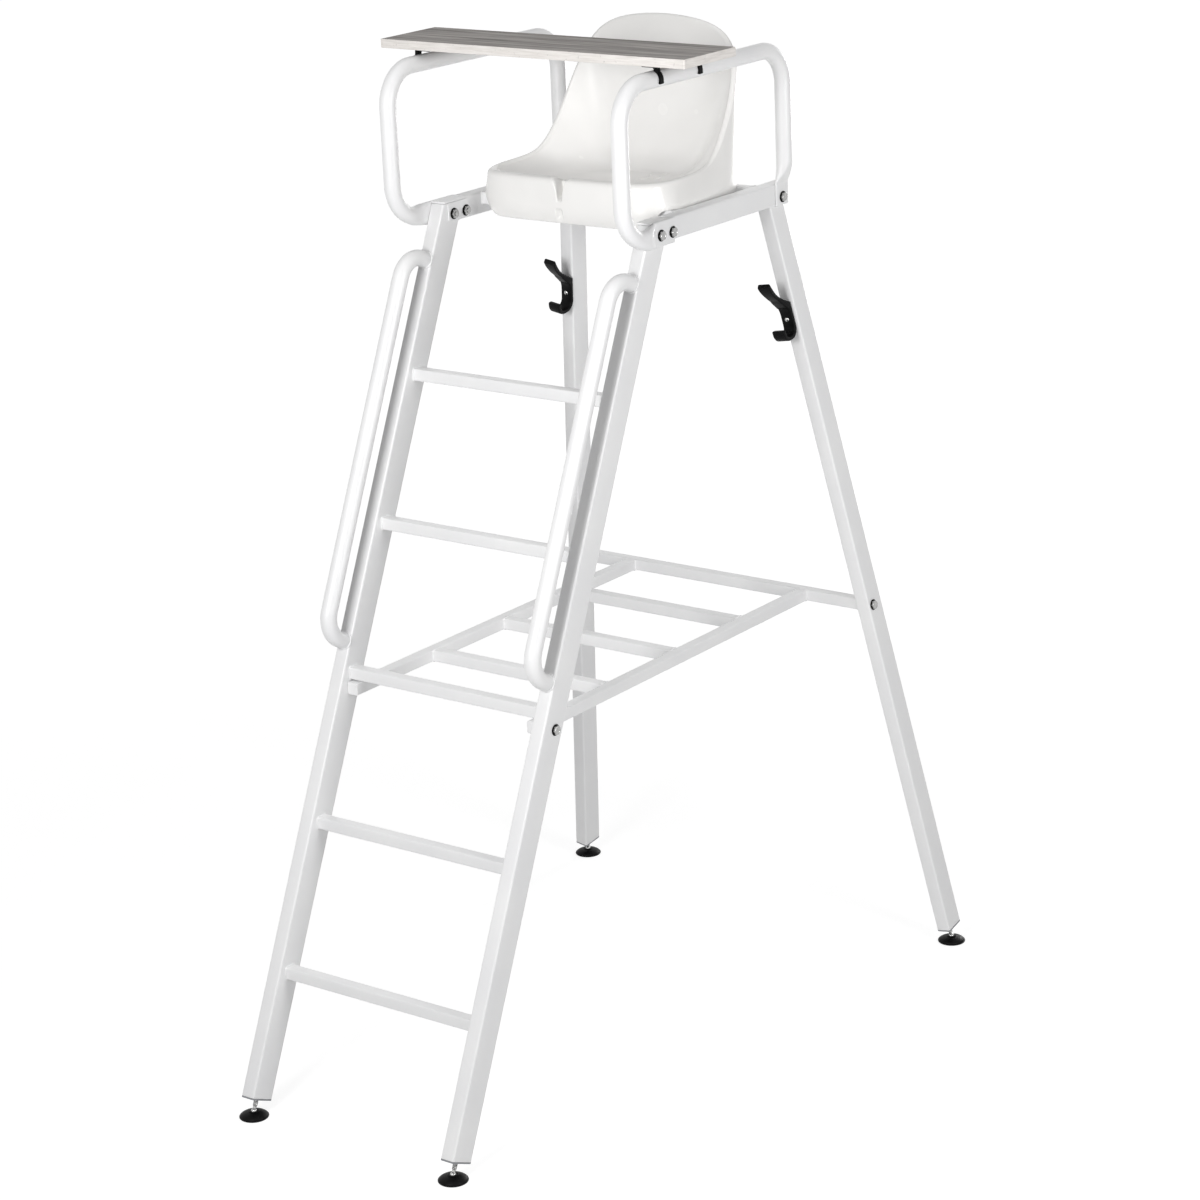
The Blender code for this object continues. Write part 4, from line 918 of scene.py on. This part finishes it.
washer_top = SEAT_GAP + WASHER_THICKNESS
head_top = washer_top + BOLT_HEAD
nut_top = washer_top + NUT_HEIGHT
tip_top = nut_top + BOLT_TIP
# Black washer ring under each head and nut: painted shade and reflection round the fastener
shade_washer_rings = [circle_ring(radius, height) for radius, height in (
    (BOLT_RADIUS, SEAT_GAP), (WASHER_RADIUS - WASHER_FOOT_EDGE, SEAT_GAP),
    (WASHER_RADIUS, SEAT_GAP + WASHER_FOOT_EDGE), (WASHER_RADIUS, washer_top - WASHER_EDGE),
    (WASHER_RADIUS - WASHER_EDGE, washer_top), (BOLT_RADIUS, washer_top))]
shank_rings = [circle_ring(BOLT_RADIUS, -BOLT_SHANK), circle_ring(BOLT_RADIUS, washer_top)]
head_rings = shank_rings + [
    hexagon_ring(washer_top), hexagon_ring(head_top - HEAD_CHAMFER),
    hexagon_ring(head_top - HEAD_CROWN, HEAD_CUTS[0]), hexagon_ring(head_top, HEAD_CUTS[1]),
    circle_ring(HEAD_DISH_RADII[0], head_top), circle_ring(HEAD_DISH_RADII[1], head_top - HEAD_DISH),
    circle_ring(CLOSING_RADIUS, head_top - HEAD_DISH)]
nut_rings = shank_rings + [
    hexagon_ring(washer_top, NUT_CUT), hexagon_ring(washer_top + NUT_CHAMFER),
    hexagon_ring(nut_top - NUT_CHAMFER), hexagon_ring(nut_top, NUT_CUT),
    circle_ring(BOLT_RADIUS + NUT_COUNTERSINK, nut_top), circle_ring(BOLT_RADIUS, nut_top - NUT_COUNTERSINK),
    circle_ring(BOLT_RADIUS, tip_top - BOLT_TIP_EDGE[1]),
    circle_ring(BOLT_RADIUS - BOLT_TIP_EDGE[0], tip_top),
    circle_ring(CLOSING_RADIUS, tip_top)]

# Fasteners: one body set at each point, its axis along the point's own direction
fastener_tree, ends = geometry_tree("fasteners", {"Body": "Object", "Finish": "Material"})
body = add_node(fastener_tree, "GeometryNodeObjectInfo", links={"Object": ends["Body"]}).outputs["Geometry"]
out_axis = geo(fastener_tree, "InputNamedAttribute", values={"Name": "out"}, data_type="FLOAT_VECTOR")
turn = add_node(fastener_tree, "FunctionNodeAlignRotationToVector", {"axis": "Z"},
                links={"Vector": out_axis})
copies = geo(fastener_tree, "InstanceOnPoints",
             {"Points": ends["Geometry"], "Instance": body, "Rotation": turn.outputs[0]})
close_tree(copies, ends["Finish"])


def fasteners(rings, places, finish=ZINC):
    """Plain mesh of one turned or hexagonal body at each (point, outward direction)."""
    mould = show(bpy.data.objects.new("mould", loft(rings)))
    points = bpy.data.meshes.new("places")
    points.from_pydata([tuple(point) for point, _ in places], [], [])
    outward = points.attributes.new("out", "FLOAT_VECTOR", "POINT")
    for item, (_, direction) in zip(outward.data, places):
        item.vector = direction
    mesh = grown(fastener_tree, points, {"Body": mould, "Finish": finish})
    bpy.data.objects.remove(mould, do_unlink=True)
    return mesh


def rear_axis(side, height):
    """Point of a rear leg's axis at a height."""
    matrix = rear_legs[side]
    along = matrix.to_3x3().col[2]
    return matrix.translation + along * ((height - matrix.translation.z) / along.z)


shelf_front = ladder_y(SHELF_HEIGHT) - SHELF_BAR_REACH
shelf_rear = rear_axis(1, SHELF_HEIGHT).y - SHELF_REAR_OFFSET
heads = []
nuts = []
head_nodes = []
for word, side in SIDES:
    tab_face = side * (ARM_INNER_X + TAB_THICKNESS)
    outward = X_AXIS * side
    for name, y, inner in (("front_bolt_1", FRONT_BOLT_Y, plate_faces[side]),
                           ("front_bolt_2", FRONT_BOLT_Y + BOLT_PITCH, plate_faces[side]),
                           ("rear_bolt", ARM_REAR_Y, side * INNER_X)):
        heads.append(((tab_face, y, BOLT_Z), outward))
        nuts.append(((inner, y, BOLT_Z), -outward))
        head_nodes.append(f"{name}_{word}")
    heads.append(((side * OUTER_X, shelf_front + SHELF_BOLT_INSET, SHELF_HEIGHT), outward))
    head_nodes.append(f"shelf_front_bolt_{word}")
    axes = rear_legs[side].to_3x3()
    on_axis = rear_axis(side, SHELF_HEIGHT)
    drop = axes.col[1] * ((shelf_rear - on_axis.y) / axes.col[1].y)
    heads.append((on_axis + drop + axes.col[0] * (side * LEG_WIDTH / 2), axes.col[0] * side))
    head_nodes.append(f"shelf_rear_bolt_{word}")
fit("frame_bolts", joined([fasteners(head_rings, heads), fasteners(nut_rings, nuts)]), ZINC, "frame",
    head_nodes, crease=radians(25))
# The black washer rings are painted shade and reflection round the bolt heads and nuts
fit("sealing_washers", fasteners(shade_washer_rings, heads + nuts, BLACK_PLASTIC), BLACK_PLASTIC, "frame",
    crease=radians(25))


# Seat: one injection-moulded bucket of glossy white plastic, with a rolled rim, a drain groove over the
# front lip and an apron that hides the cross rails it is screwed to.
SEAT_WIDTH = 0.466
SEAT_FRONT_Y = 0.078
SEAT_REAR_Y = 0.456
SEAT_RAKE = -0.003
SEAT_TAPER = 0.018
SEAT_NARROWING = 0.016
NARROWING_FROM_Y = 0.180
SEAT_WALL = 0.004
SEAT_LIP = 0.053
SEAT_BACK = 0.331
SEAT_ARCH = 0.045
SEAT_DISH = 0.033
SEAT_LIP_ROLL = 0.013
SEAT_RIM = 0.006
LIP_REACH = 0.110
FRONT_BLUNTNESS = 5.8
TOP_BLUNTNESS = 6.3
FOOT_BLUNTNESS = 4.0
APRON_DROP = 0.038
APRON_BLEND_Y = 0.117
APRON_FULL_Y = 0.083
APRON_TUCK = 0.008
APRON_TURN = 0.034
SKIRT_UPRIGHT = 0.2
SKIRT_DROP = 0.009
SKIRT_BLEND = 0.004
SKIRT_CLEAR = SQUARE_TUBE / 2 + 0.003
BACK_RISE_Y = 0.292
BACK_RISE_SOFTNESS = 0.045
BACK_RISE_POWER = 1.4
DISH_REACH = 0.52
DISH_POWER = 2.2
PAN_REACH = 0.985
PAN_CROWDING = 1.3
GROOVE_X = -0.005
GROOVE_MOUTH = 0.025
GROOVE_FOOT = 0.0065
GROOVE_FLARE = 0.014
GROOVE_FLAT = 0.4
GROOVE_LENGTH = 0.049
GROOVE_FADE_FROM = 0.65
GROOVE_DEPTH = 0.022
GROOVE_DIP = 0.010
GROOVE_IN_PAN = 0.32
NOTCH_X = -0.008
NOTCH_REACH = 0.011
NOTCH_FLAT = 0.2
NOTCH_FROM = 0.059
NOTCH_LENGTH = 0.032
NOTCH_RISE = 0.3
NOTCH_FADE_FROM = 0.5
NOTCH_DEPTH = 0.006
PLAN_SAMPLES = 2880
CORNER_WEIGHT = 0.06
GROOVE_WEIGHT = 12.0
GROOVE_BAND = 0.030
SEAT_COLUMNS = 300
SKIRT_ROWS = 60
ROLL_ROWS = 20
PAN_ROWS = 34


def late(share, start):
    """0 up to a start, then easing up to 1 at a share of 1."""
    return smooth((share - start) / (1 - start))


def blunt(wave, power):
    """A sine wave flattened at its crests, with its sign."""
    return abs(wave) ** power * (1 if wave >= 0 else -1)


def seat_plan(half_width, front, rear, rear_bluntness):
    """Plan of the seat: blunt ellipse that narrows to the rear, closer at its corners and front middle."""
    middle = (front + rear) / 2
    half_depth = (rear - front) / 2
    dense = []
    for i in range(PLAN_SAMPLES + 1):
        turn = -pi / 2 + 2 * pi * i / PLAN_SAMPLES
        power = 2 / (FRONT_BLUNTNESS if sin(turn) < 0 else rear_bluntness)
        y = middle + half_depth * blunt(sin(turn), power)
        narrowing = SEAT_NARROWING * smooth((y - NARROWING_FROM_Y) / (rear - NARROWING_FROM_Y))
        dense.append(Vector((half_width * blunt(cos(turn), power) * (1 - narrowing / half_width), y)))
    lengths = [0.0]
    last = 0.0
    for a, b in zip(dense, dense[1:]):
        heading = atan2(b.y - a.y, b.x - a.x)
        bent = abs((heading - last + pi) % (2 * pi) - pi)
        weight = GROOVE_WEIGHT if abs(a.x) < GROOVE_BAND and a.y < middle else 1.0
        lengths.append(lengths[-1] + (b - a).length * weight + CORNER_WEIGHT * bent)
        last = heading
    points = []
    k = 0
    for i in range(SEAT_COLUMNS):
        goal = lengths[-1] * i / SEAT_COLUMNS
        while lengths[k + 1] < goal:
            k += 1
        share = (goal - lengths[k]) / max(lengths[k + 1] - lengths[k], 1e-12)
        points.append(dense[k].lerp(dense[k + 1], share))
    return points


def groove_shift(point, drop):
    """How far the drain groove sets the sheet back and down, at a depth below the lip."""
    if point.y > NARROWING_FROM_Y:
        return 0.0, 0.0
    reach = GROOVE_FOOT + (GROOVE_MOUTH - GROOVE_FOOT) * exp(-drop / GROOVE_FLARE)
    share = 1 - late(abs(point.x - GROOVE_X) / reach, GROOVE_FLAT)
    share *= 1 - late(drop / GROOVE_LENGTH, GROOVE_FADE_FROM)
    below = (drop - NOTCH_FROM) / NOTCH_LENGTH
    notch = 1 - late(abs(point.x - NOTCH_X) / NOTCH_REACH, NOTCH_FLAT)
    notch *= smooth(below / NOTCH_RISE) * (1 - late(below, NOTCH_FADE_FROM))
    return GROOVE_DEPTH * share + NOTCH_DEPTH * notch, GROOVE_DIP * share


def back_ramp(y):
    """Distance behind the foot of the back, easing in from zero."""
    past = y - BACK_RISE_Y
    return (past + hypot(past, BACK_RISE_SOFTNESS)) / 2


def off_cross_rails(y):
    """1 where the skirt can hang beside the side rails, 0 in front and over a cross rail."""
    share = smooth((y - CROSS_RAIL_FRONT_Y - SKIRT_CLEAR) / SKIRT_BLEND)
    return share * smooth((abs(y - CROSS_RAIL_REAR_Y) - SKIRT_CLEAR) / SKIRT_BLEND)


half = SEAT_WIDTH / 2
rim_half = half - SEAT_TAPER / 2
rim_rear = SEAT_REAR_Y + SEAT_RAKE
seat_base = FRAME_TOP - CROSS_RAIL_DROP + SEAT_GAP
pan = FRAME_TOP + SEAT_LIP - SEAT_DISH
centre = Vector((0.0, (SEAT_FRONT_Y + SEAT_REAR_Y) / 2))
foot_plan = seat_plan(half, SEAT_FRONT_Y, SEAT_REAR_Y, FOOT_BLUNTNESS)
rim_plan = seat_plan(rim_half, SEAT_FRONT_Y, rim_rear, TOP_BLUNTNESS)
columns = []
for low, high in zip(foot_plan, rim_plan):
    rise = (back_ramp(high.y) / back_ramp(rim_rear)) ** BACK_RISE_POWER
    arch = SEAT_ARCH * (abs(high.x) / rim_half) ** 2
    crest = FRAME_TOP + SEAT_LIP + (SEAT_BACK - SEAT_LIP - arch) * rise
    inward = (centre - high).normalized()
    drop = APRON_DROP * smooth((APRON_BLEND_Y - low.y) / (APRON_BLEND_Y - APRON_FULL_Y))
    bottom = seat_base - drop - SKIRT_DROP * off_cross_rails(low.y)
    roll = SEAT_RIM + (SEAT_LIP_ROLL - SEAT_RIM) * (1 - smooth((high.y - SEAT_FRONT_Y) / LIP_REACH))
    shoulder = crest - roll
    column = []
    for row in range(SKIRT_ROWS):
        share = row / SKIRT_ROWS
        flat = low.lerp(high, max(share - SKIRT_UPRIGHT, 0.0) / (1 - SKIRT_UPRIGHT))
        z = bottom + (shoulder - bottom) * share
        setback, _ = groove_shift(flat, crest - z)
        under = APRON_TUCK * max(1 - (z - bottom) / APRON_TURN, 0.0) ** 2 * drop / APRON_DROP
        column.append((flat.x * (1 - under / half), flat.y + setback + under, z))
    for row in range(ROLL_ROWS + 1):
        turn = pi * row / ROLL_ROWS
        flat = high + inward * (roll * (1 - cos(turn)))
        setback, dip = groove_shift(high, roll * (1 - sin(min(turn, pi / 2))))
        dip *= smooth(2 * turn / pi)
        column.append((flat.x, flat.y + setback, shoulder + roll * sin(turn) - dip))
    edge = high + inward * (2 * roll)
    for row in range(1, PAN_ROWS + 1):
        share = PAN_REACH * (row / PAN_ROWS) ** PAN_CROWDING
        flat = edge.lerp(centre, share)
        fall = 1 - max(1 - share / DISH_REACH, 0.0) ** DISH_POWER
        fade = 1 - smooth(share / GROOVE_IN_PAN)
        column.append((flat.x, flat.y + setback * fade, shoulder + (pan - shoulder) * fall - dip * fade))
    columns.append(column)
# Polypropylene: injection-moulded in a polished mould, so glossy with a soft waviness; a very fine grain
# of about 1 mm keeps the gloss from being a mirror
SEAT_PLASTIC, place = new_finish("white_moulded_polypropylene")
wave = noise(place, per_mm(90), 2.0)
grain = noise(place, per_mm(1.4), 2.0)
soft = bump(wave, 0.10, 0.002)
surface({"IOR": 1.49}, ramp(wave, "EDECEA", "F1F0EE", 0.3, 0.7), spread(wave, 0.20, 0.30),
        Normal=bump(grain, 0.04, 0.0003, Normal=soft))

seat_mesh = loft(zip(*columns), caps=(-1,))
seat_item = fit("bucket_seat", seat_mesh, SEAT_PLASTIC, "frame", ["seat"],
                crease=radians(60))
wall = seat_item.modifiers.new("wall", "SOLIDIFY")
wall.thickness = SEAT_WALL
wall.offset = -1.0
wall.use_even_offset = False


# Luggage shelf: 25 mm square tube between the four legs, two long bars and three cross bars welded into a
# grid, with a rear bar that reaches out to the splayed legs.
SHELF_FIRST_CROSS = 0.255
SHELF_CROSS_COUNT = 3
SHELF_BEAD = 0.0016
bar_x = INNER_X - SEAT_GAP - SQUARE_TUBE / 2
bar_back = shelf_rear - SQUARE_TUBE / 2 - SEAT_GAP
seams = []
for word, side in SIDES:
    x = side * bar_x
    mesh = square_bar((x, shelf_front, SHELF_HEIGHT), (x, bar_back, SHELF_HEIGHT))
    coated(f"shelf_long_bar_{word}", mesh, f"shelf_bar_{word}")
    seams.append(square_seam(x, bar_back, SHELF_HEIGHT, along_y=True))
reach = bar_x - SQUARE_TUBE / 2 - SEAT_GAP
first = shelf_front + SHELF_FIRST_CROSS
for index in range(SHELF_CROSS_COUNT):
    y = first + (shelf_rear - first) * index / SHELF_CROSS_COUNT
    mesh = square_bar((-reach, y, SHELF_HEIGHT), (reach, y, SHELF_HEIGHT))
    coated(f"shelf_cross_bar_{index + 1}", mesh, f"shelf_cross_{index + 1}")
    seams += [square_seam(side * (reach + SEAT_GAP), y, SHELF_HEIGHT) for _, side in SIDES]
leg_normal = rear_legs[1].to_3x3().col[0]
leg_face = rear_legs[1].translation - leg_normal * (LEG_WIDTH / 2 + SEAT_GAP)


def leg_inner_x(y, z):
    """Where the inner face of the right rear leg stands at a depth and height."""
    return leg_face.x - (leg_normal.y * (y - leg_face.y) + leg_normal.z * (z - leg_face.z)) / leg_normal.x


outline = [(shelf_rear + a, SHELF_HEIGHT + b)
           for a, b in rounded_rectangle(SQUARE_TUBE, SQUARE_TUBE, SQUARE_CORNER)]
bar_ends = [[(side * leg_inner_x(y, z), y, z) for y, z in outline] for _, side in SIDES]
coated("shelf_rear_tube", loft(bar_ends), "shelf_rear_bar")
weld("shelf_welds", seams + bar_ends, SHELF_BEAD)


# Bag hooks: black moulded double hooks, one screwed to the front of each rear leg; the lower prong curls
# up, the upper one reaches further and ends in a broad pad.
HOOK_FROM_TOP = 0.274
HOOK_INSET = 0.0045
HOOK_WIDTH = 0.028
HOOK_TIP_WIDTH = 0.029
HOOK_NECK_WIDTH = 0.024
HOOK_THICKNESS = 0.008
HOOK_TIP_THICKNESS = 0.010
HOOK_SHOULDER_THICKNESS = 0.0092
HOOK_CORNER = 0.0028
HOOK_CORNER_SHARE = 0.3
HOOK_CORNER_STEPS = 5
HOOK_BODY = 0.0715
HOOK_LOWER_RISE = 0.026
HOOK_LOWER_TIP = 0.0475
HOOK_LOWER_BELLY = 0.049
HOOK_LOWER_MIDDLE = 0.025
HOOK_UPPER_REACH = 0.061
HOOK_UPPER_RISE = 0.0575
HOOK_UPPER_LEAN = (0.04514, 0.021275)
HOOK_WEB = 0.009
HOOK_WEB_REACH = 0.027
HOOK_TIP_FACE = (-0.6, 0.8)
HOOK_SLANT_FROM = 0.6
HOOK_TIP_STEPS = ((0.0010, 0.96), (0.0018, 0.86), (0.0022, 0.7))
HOOK_TIP_SIDE = 0.45
HOOK_STEPS = 18
HOOK_BODY_STEPS = 8
HOOK_SCREW_ALONG = 0.038
SCREW_RADIUS = 0.005
SCREW_DOME = 0.0028
SCREW_STEPS = 8
SCREW_POINT = 0.0002
SCREW_SHANK_RADIUS = 0.0025
SCREW_SHANK = 0.004
SCREW_SIDES = 32

half = HOOK_THICKNESS / 2
line = [(HOOK_LOWER_TIP, HOOK_LOWER_RISE)]
line += quadratic(line[0], (HOOK_LOWER_BELLY, half), (HOOK_LOWER_MIDDLE, half), HOOK_STEPS)
line += quadratic(line[-1], (half, half), (half, HOOK_LOWER_RISE), HOOK_STEPS)
body_step = (HOOK_BODY - HOOK_LOWER_RISE) / HOOK_BODY_STEPS
line += [(half, HOOK_LOWER_RISE + body_step * i) for i in range(1, HOOK_BODY_STEPS + 1)]
line += quadratic((half, HOOK_BODY), (HOOK_UPPER_LEAN[0], HOOK_BODY + HOOK_UPPER_LEAN[1]),
                  (HOOK_UPPER_REACH, HOOK_BODY + HOOK_UPPER_RISE), HOOK_STEPS)
swell = HOOK_TIP_THICKNESS - HOOK_THICKNESS
rings = []
for i, (x, y) in enumerate(line):
    heading = (Vector(line[min(i + 1, len(line) - 1)]) - Vector(line[max(i - 1, 0)])).normalized()
    to_body = smooth(i / HOOK_STEPS)
    past_body = (i - 2 * HOOK_STEPS - HOOK_BODY_STEPS) / HOOK_STEPS
    width = HOOK_TIP_WIDTH + (HOOK_WIDTH - HOOK_TIP_WIDTH) * to_body
    thickness = HOOK_THICKNESS + swell * (1 - to_body)
    if past_body == 0:
        thickness = HOOK_SHOULDER_THICKNESS
    if past_body > 0:
        wide = HOOK_WIDTH + (HOOK_TIP_WIDTH - HOOK_WIDTH) * past_body
        width = wide + (HOOK_NECK_WIDTH - wide) * smooth(1 - abs(2 * past_body - 1))
        thickness = HOOK_THICKNESS + swell * smooth(past_body)
    web = 0.0
    if x < HOOK_UPPER_REACH / 2:
        web = HOOK_WEB * max(1 - abs(y - HOOK_BODY) / HOOK_WEB_REACH, 0.0) ** 2
    normal = Vector((-heading.y, heading.x))
    normal = normal.lerp(Vector(HOOK_TIP_FACE), late(past_body, HOOK_SLANT_FROM)).normalized()
    middle = Vector((x, y)) - normal * (web / 2)
    thickness += web
    corner = min(HOOK_CORNER, thickness * HOOK_CORNER_SHARE)
    section = rounded_rectangle(thickness, width, corner, HOOK_CORNER_STEPS)
    steps = [(0.0, 1.0)]
    if i == 0:
        steps = [(-depth, shrink) for depth, shrink in reversed(HOOK_TIP_STEPS)] + steps
    if i == len(line) - 1:
        steps += HOOK_TIP_STEPS
    for depth, shrink in steps:
        narrower = 1 - (1 - shrink) * HOOK_TIP_SIDE
        at = middle + heading * depth
        rings.append([(*(at + normal * (u * shrink)), v * narrower) for u, v in section])

screw_rings = []
for i in range(SCREW_STEPS + 1):
    turn = pi / 2 * i / SCREW_STEPS
    height = SEAT_GAP + SCREW_DOME * cos(turn)
    screw_rings.append(circle_ring(max(SCREW_RADIUS * sin(turn), SCREW_POINT), height, SCREW_SIDES))
screw_rings += [circle_ring(SCREW_SHANK_RADIUS, height, SCREW_SIDES) for height in (SEAT_GAP, -SCREW_SHANK)]
face = -REAR_LEG_DEPTH / 2 - SEAT_GAP
screws = []
for word, side in SIDES:
    matrix = rear_legs[side]
    top = Vector((side * REAR_TOP_X, REAR_TOP_Y, rear_top))
    along = (top - matrix.translation).length - HOOK_FROM_TOP
    inset = -side * HOOK_INSET
    mesh = moved(loft(rings), matrix @ placed((inset, face, along), -Y_AXIS, Z_AXIS, -X_AXIS))
    fit(f"bag_hook_{word}", mesh, BLACK_PLASTIC, "frame", [f"hook_{word}"],
        crease=radians(50))
    spot = matrix @ Vector((inset, face - HOOK_THICKNESS, along + HOOK_SCREW_ALONG))
    screws.append((spot, -matrix.to_3x3().col[1]))
fit("hook_screws", fasteners(screw_rings, screws), ZINC, "frame",
    [f"hook_screw_{word}" for word, _ in SIDES])


# Writing board: 18 mm chipboard faced with grey wood-grain laminate, its edges closed with a pale band; it
# lies across the armrests and can be slid along them.
def stretched(place, scale):
    """The object's coordinates, drawn out along an axis."""
    node = add_node(place.id_data, "ShaderNodeMapping", values={"Scale": scale}, links={"Vector": place})
    return node.outputs[0]


def darkened(colour, share):
    """A colour multiplied by a share."""
    node = add_node(colour.id_data, "ShaderNodeMix", {"data_type": "RGBA", "blend_type": "MULTIPLY"},
                    {0: 1.0}, {6: colour, 7: share})
    return node.outputs[2]


# Melamine-faced chipboard: a printed and embossed grain that runs along the board, grey and matt
LAMINATE, place = new_finish("grey_wood_grain_melamine")
figure = noise(stretched(place, (1.6, 34.0, 34.0)), 2.2, 6.0, 0.62, 0.5)
pore = noise(stretched(place, (16.0, 520.0, 520.0)), 1.0, 3.0, 0.6)
tint = ramp(figure, "726D6A", "C2BDB9", 0.36, 0.66)
surface({"Specular IOR Level": 0.2}, darkened(tint, spread(pore, 0.82, 1.0, 0.35, 0.6)),
        spread(pore, 0.55, 0.75), Normal=bump(pore, 0.25, 0.0003))

# ABS edge band: extruded strip printed with a pale bleached grain, slightly glossier than the faces
EDGE_BAND, place = new_finish("pale_printed_abs_edge_band")
figure = noise(stretched(place, (14.0, 14.0, 190.0)), 1.6, 5.0, 0.65)
fleck = noise(place, per_mm(9), 4.0)
tint = ramp(figure, "D3CEC9", "EAE6E2", 0.28, 0.62)
surface({}, darkened(tint, spread(fleck, 0.72, 1.0, 0.27, 0.36)),
        spread(figure, 0.34, 0.5))

BAND = 0.0012
BAND_CORNER = 0.0024
BAND_TRIM = 0.0006
BAND_TRIM_CORNER = 0.0020
BAND_INNER_CORNER = 0.0014
BAND_SINK = 0.00005
PANEL_CORNER = 0.0015
PANEL_EDGE = 0.0001
lowest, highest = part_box("writing_board")
size = highest - lowest
middle = (highest + lowest) / 2
panel = slab(size.x - 2 * BAND, size.y - 2 * BAND, PANEL_CORNER, lowest.z, highest.z, PANEL_EDGE)
on_board = Matrix.Translation((middle.x, middle.y, 0.0))
fit("board_panel", moved(panel, on_board), LAMINATE, "board", ["writing_board"])
band_top = highest.z - BAND_SINK
band_steps = ((BAND, BAND_INNER_CORNER, lowest.z), (BAND_TRIM, BAND_TRIM_CORNER, lowest.z),
              (0.0, BAND_CORNER, lowest.z + BAND_TRIM), (0.0, BAND_CORNER, highest.z - BAND_TRIM),
              (BAND_TRIM, BAND_TRIM_CORNER, band_top), (BAND, BAND_INNER_CORNER, band_top),
              (BAND, BAND_INNER_CORNER, lowest.z))
rings = [plan_ring(size.x - 2 * inset, size.y - 2 * inset, corner, height)
         for inset, corner, height in band_steps]
fit("board_edge_band", moved(loft(rings, caps=()), on_board), EDGE_BAND, "board",
    crease=radians(30))


# Board clips: four black moulded hooks screwed under the board, each with a strap that springs round the
# outside of an armrest tube and ends in a small round bead.
CLIP_WIDTH = 0.012
CLIP_EDGE = 0.0007
CLIP_STRAP = 0.0038
CLIP_PAD = 0.010
CLIP_FLANGE = 0.022
CLIP_PLATE = 0.004
CLIP_FILLET = 0.004
CLIP_INSET = 0.022
CLIP_END = -radians(16)
CLIP_OUTER_FROM = radians(48)
CLIP_INNER_TO = radians(72)
CLIP_SHOULDER = 0.62
CLIP_BEAD = CLIP_STRAP * 0.7
CLIP_BEAD_FROM = 0.35 * pi
CLIP_BEAD_TO = -1.35 * pi


def extruded(outline, width, edge):
    """Clockwise outline in XY, as thick as a width about Z, with its side edges broken."""
    normals = []
    for i in range(len(outline)):
        run = (Vector(outline[(i + 1) % len(outline)]) - Vector(outline[i - 1])).normalized()
        normals.append((run.y, -run.x))
    rings = []
    half = width / 2
    for z, inset in ((-half, edge), (edge - half, 0.0), (half - edge, 0.0), (half, edge)):
        rings.append([(x + nx * inset, y + ny * inset, z) for (x, y), (nx, ny) in zip(outline, normals)])
    return loft(rings, hollow_sided=True)


inner_r = ARM_RADIUS + SEAT_GAP
outer_r = inner_r + CLIP_STRAP
between = (inner_r + outer_r) / 2
top = ARM_RADIUS + CLIP_PAD
bead_at = (between * cos(CLIP_END), between * sin(CLIP_END))
fillet_at = (inner_r * cos(CLIP_INNER_TO) - CLIP_FILLET, top - CLIP_PLATE - CLIP_FILLET)
clip_outline = [(-CLIP_FLANGE, top), (outer_r * CLIP_SHOULDER, top)]
clip_outline += arc((0, 0), outer_r, CLIP_OUTER_FROM, CLIP_END, 26)
clip_outline += arc(bead_at, CLIP_BEAD, CLIP_END + CLIP_BEAD_FROM, CLIP_END + CLIP_BEAD_TO, 20)[1:-1]
clip_outline = [point for point in clip_outline if hypot(*point) >= inner_r - 1e-9]
clip_outline += arc((0, 0), inner_r, CLIP_END, CLIP_INNER_TO, 28)
clip_outline += arc(fillet_at, CLIP_FILLET, 0.0, pi / 2, 8)
clip_outline += [(-CLIP_FLANGE, top - CLIP_PLATE)]
for word, side in SIDES:
    for end, sign in (("front", -1), ("rear", 1)):
        y = middle.y + sign * (size.y / 2 - CLIP_INSET)
        turn = placed((side * ARM_X, y, ARM_TOP), X_AXIS * side, Z_AXIS, -Y_AXIS * side)
        mesh = moved(extruded(clip_outline, CLIP_WIDTH, CLIP_EDGE), turn)
        fit(f"tube_clip_{end}_{word}", mesh, BLACK_PLASTIC, "board",
            [f"board_clip_{end}_{word}"], crease=radians(40))
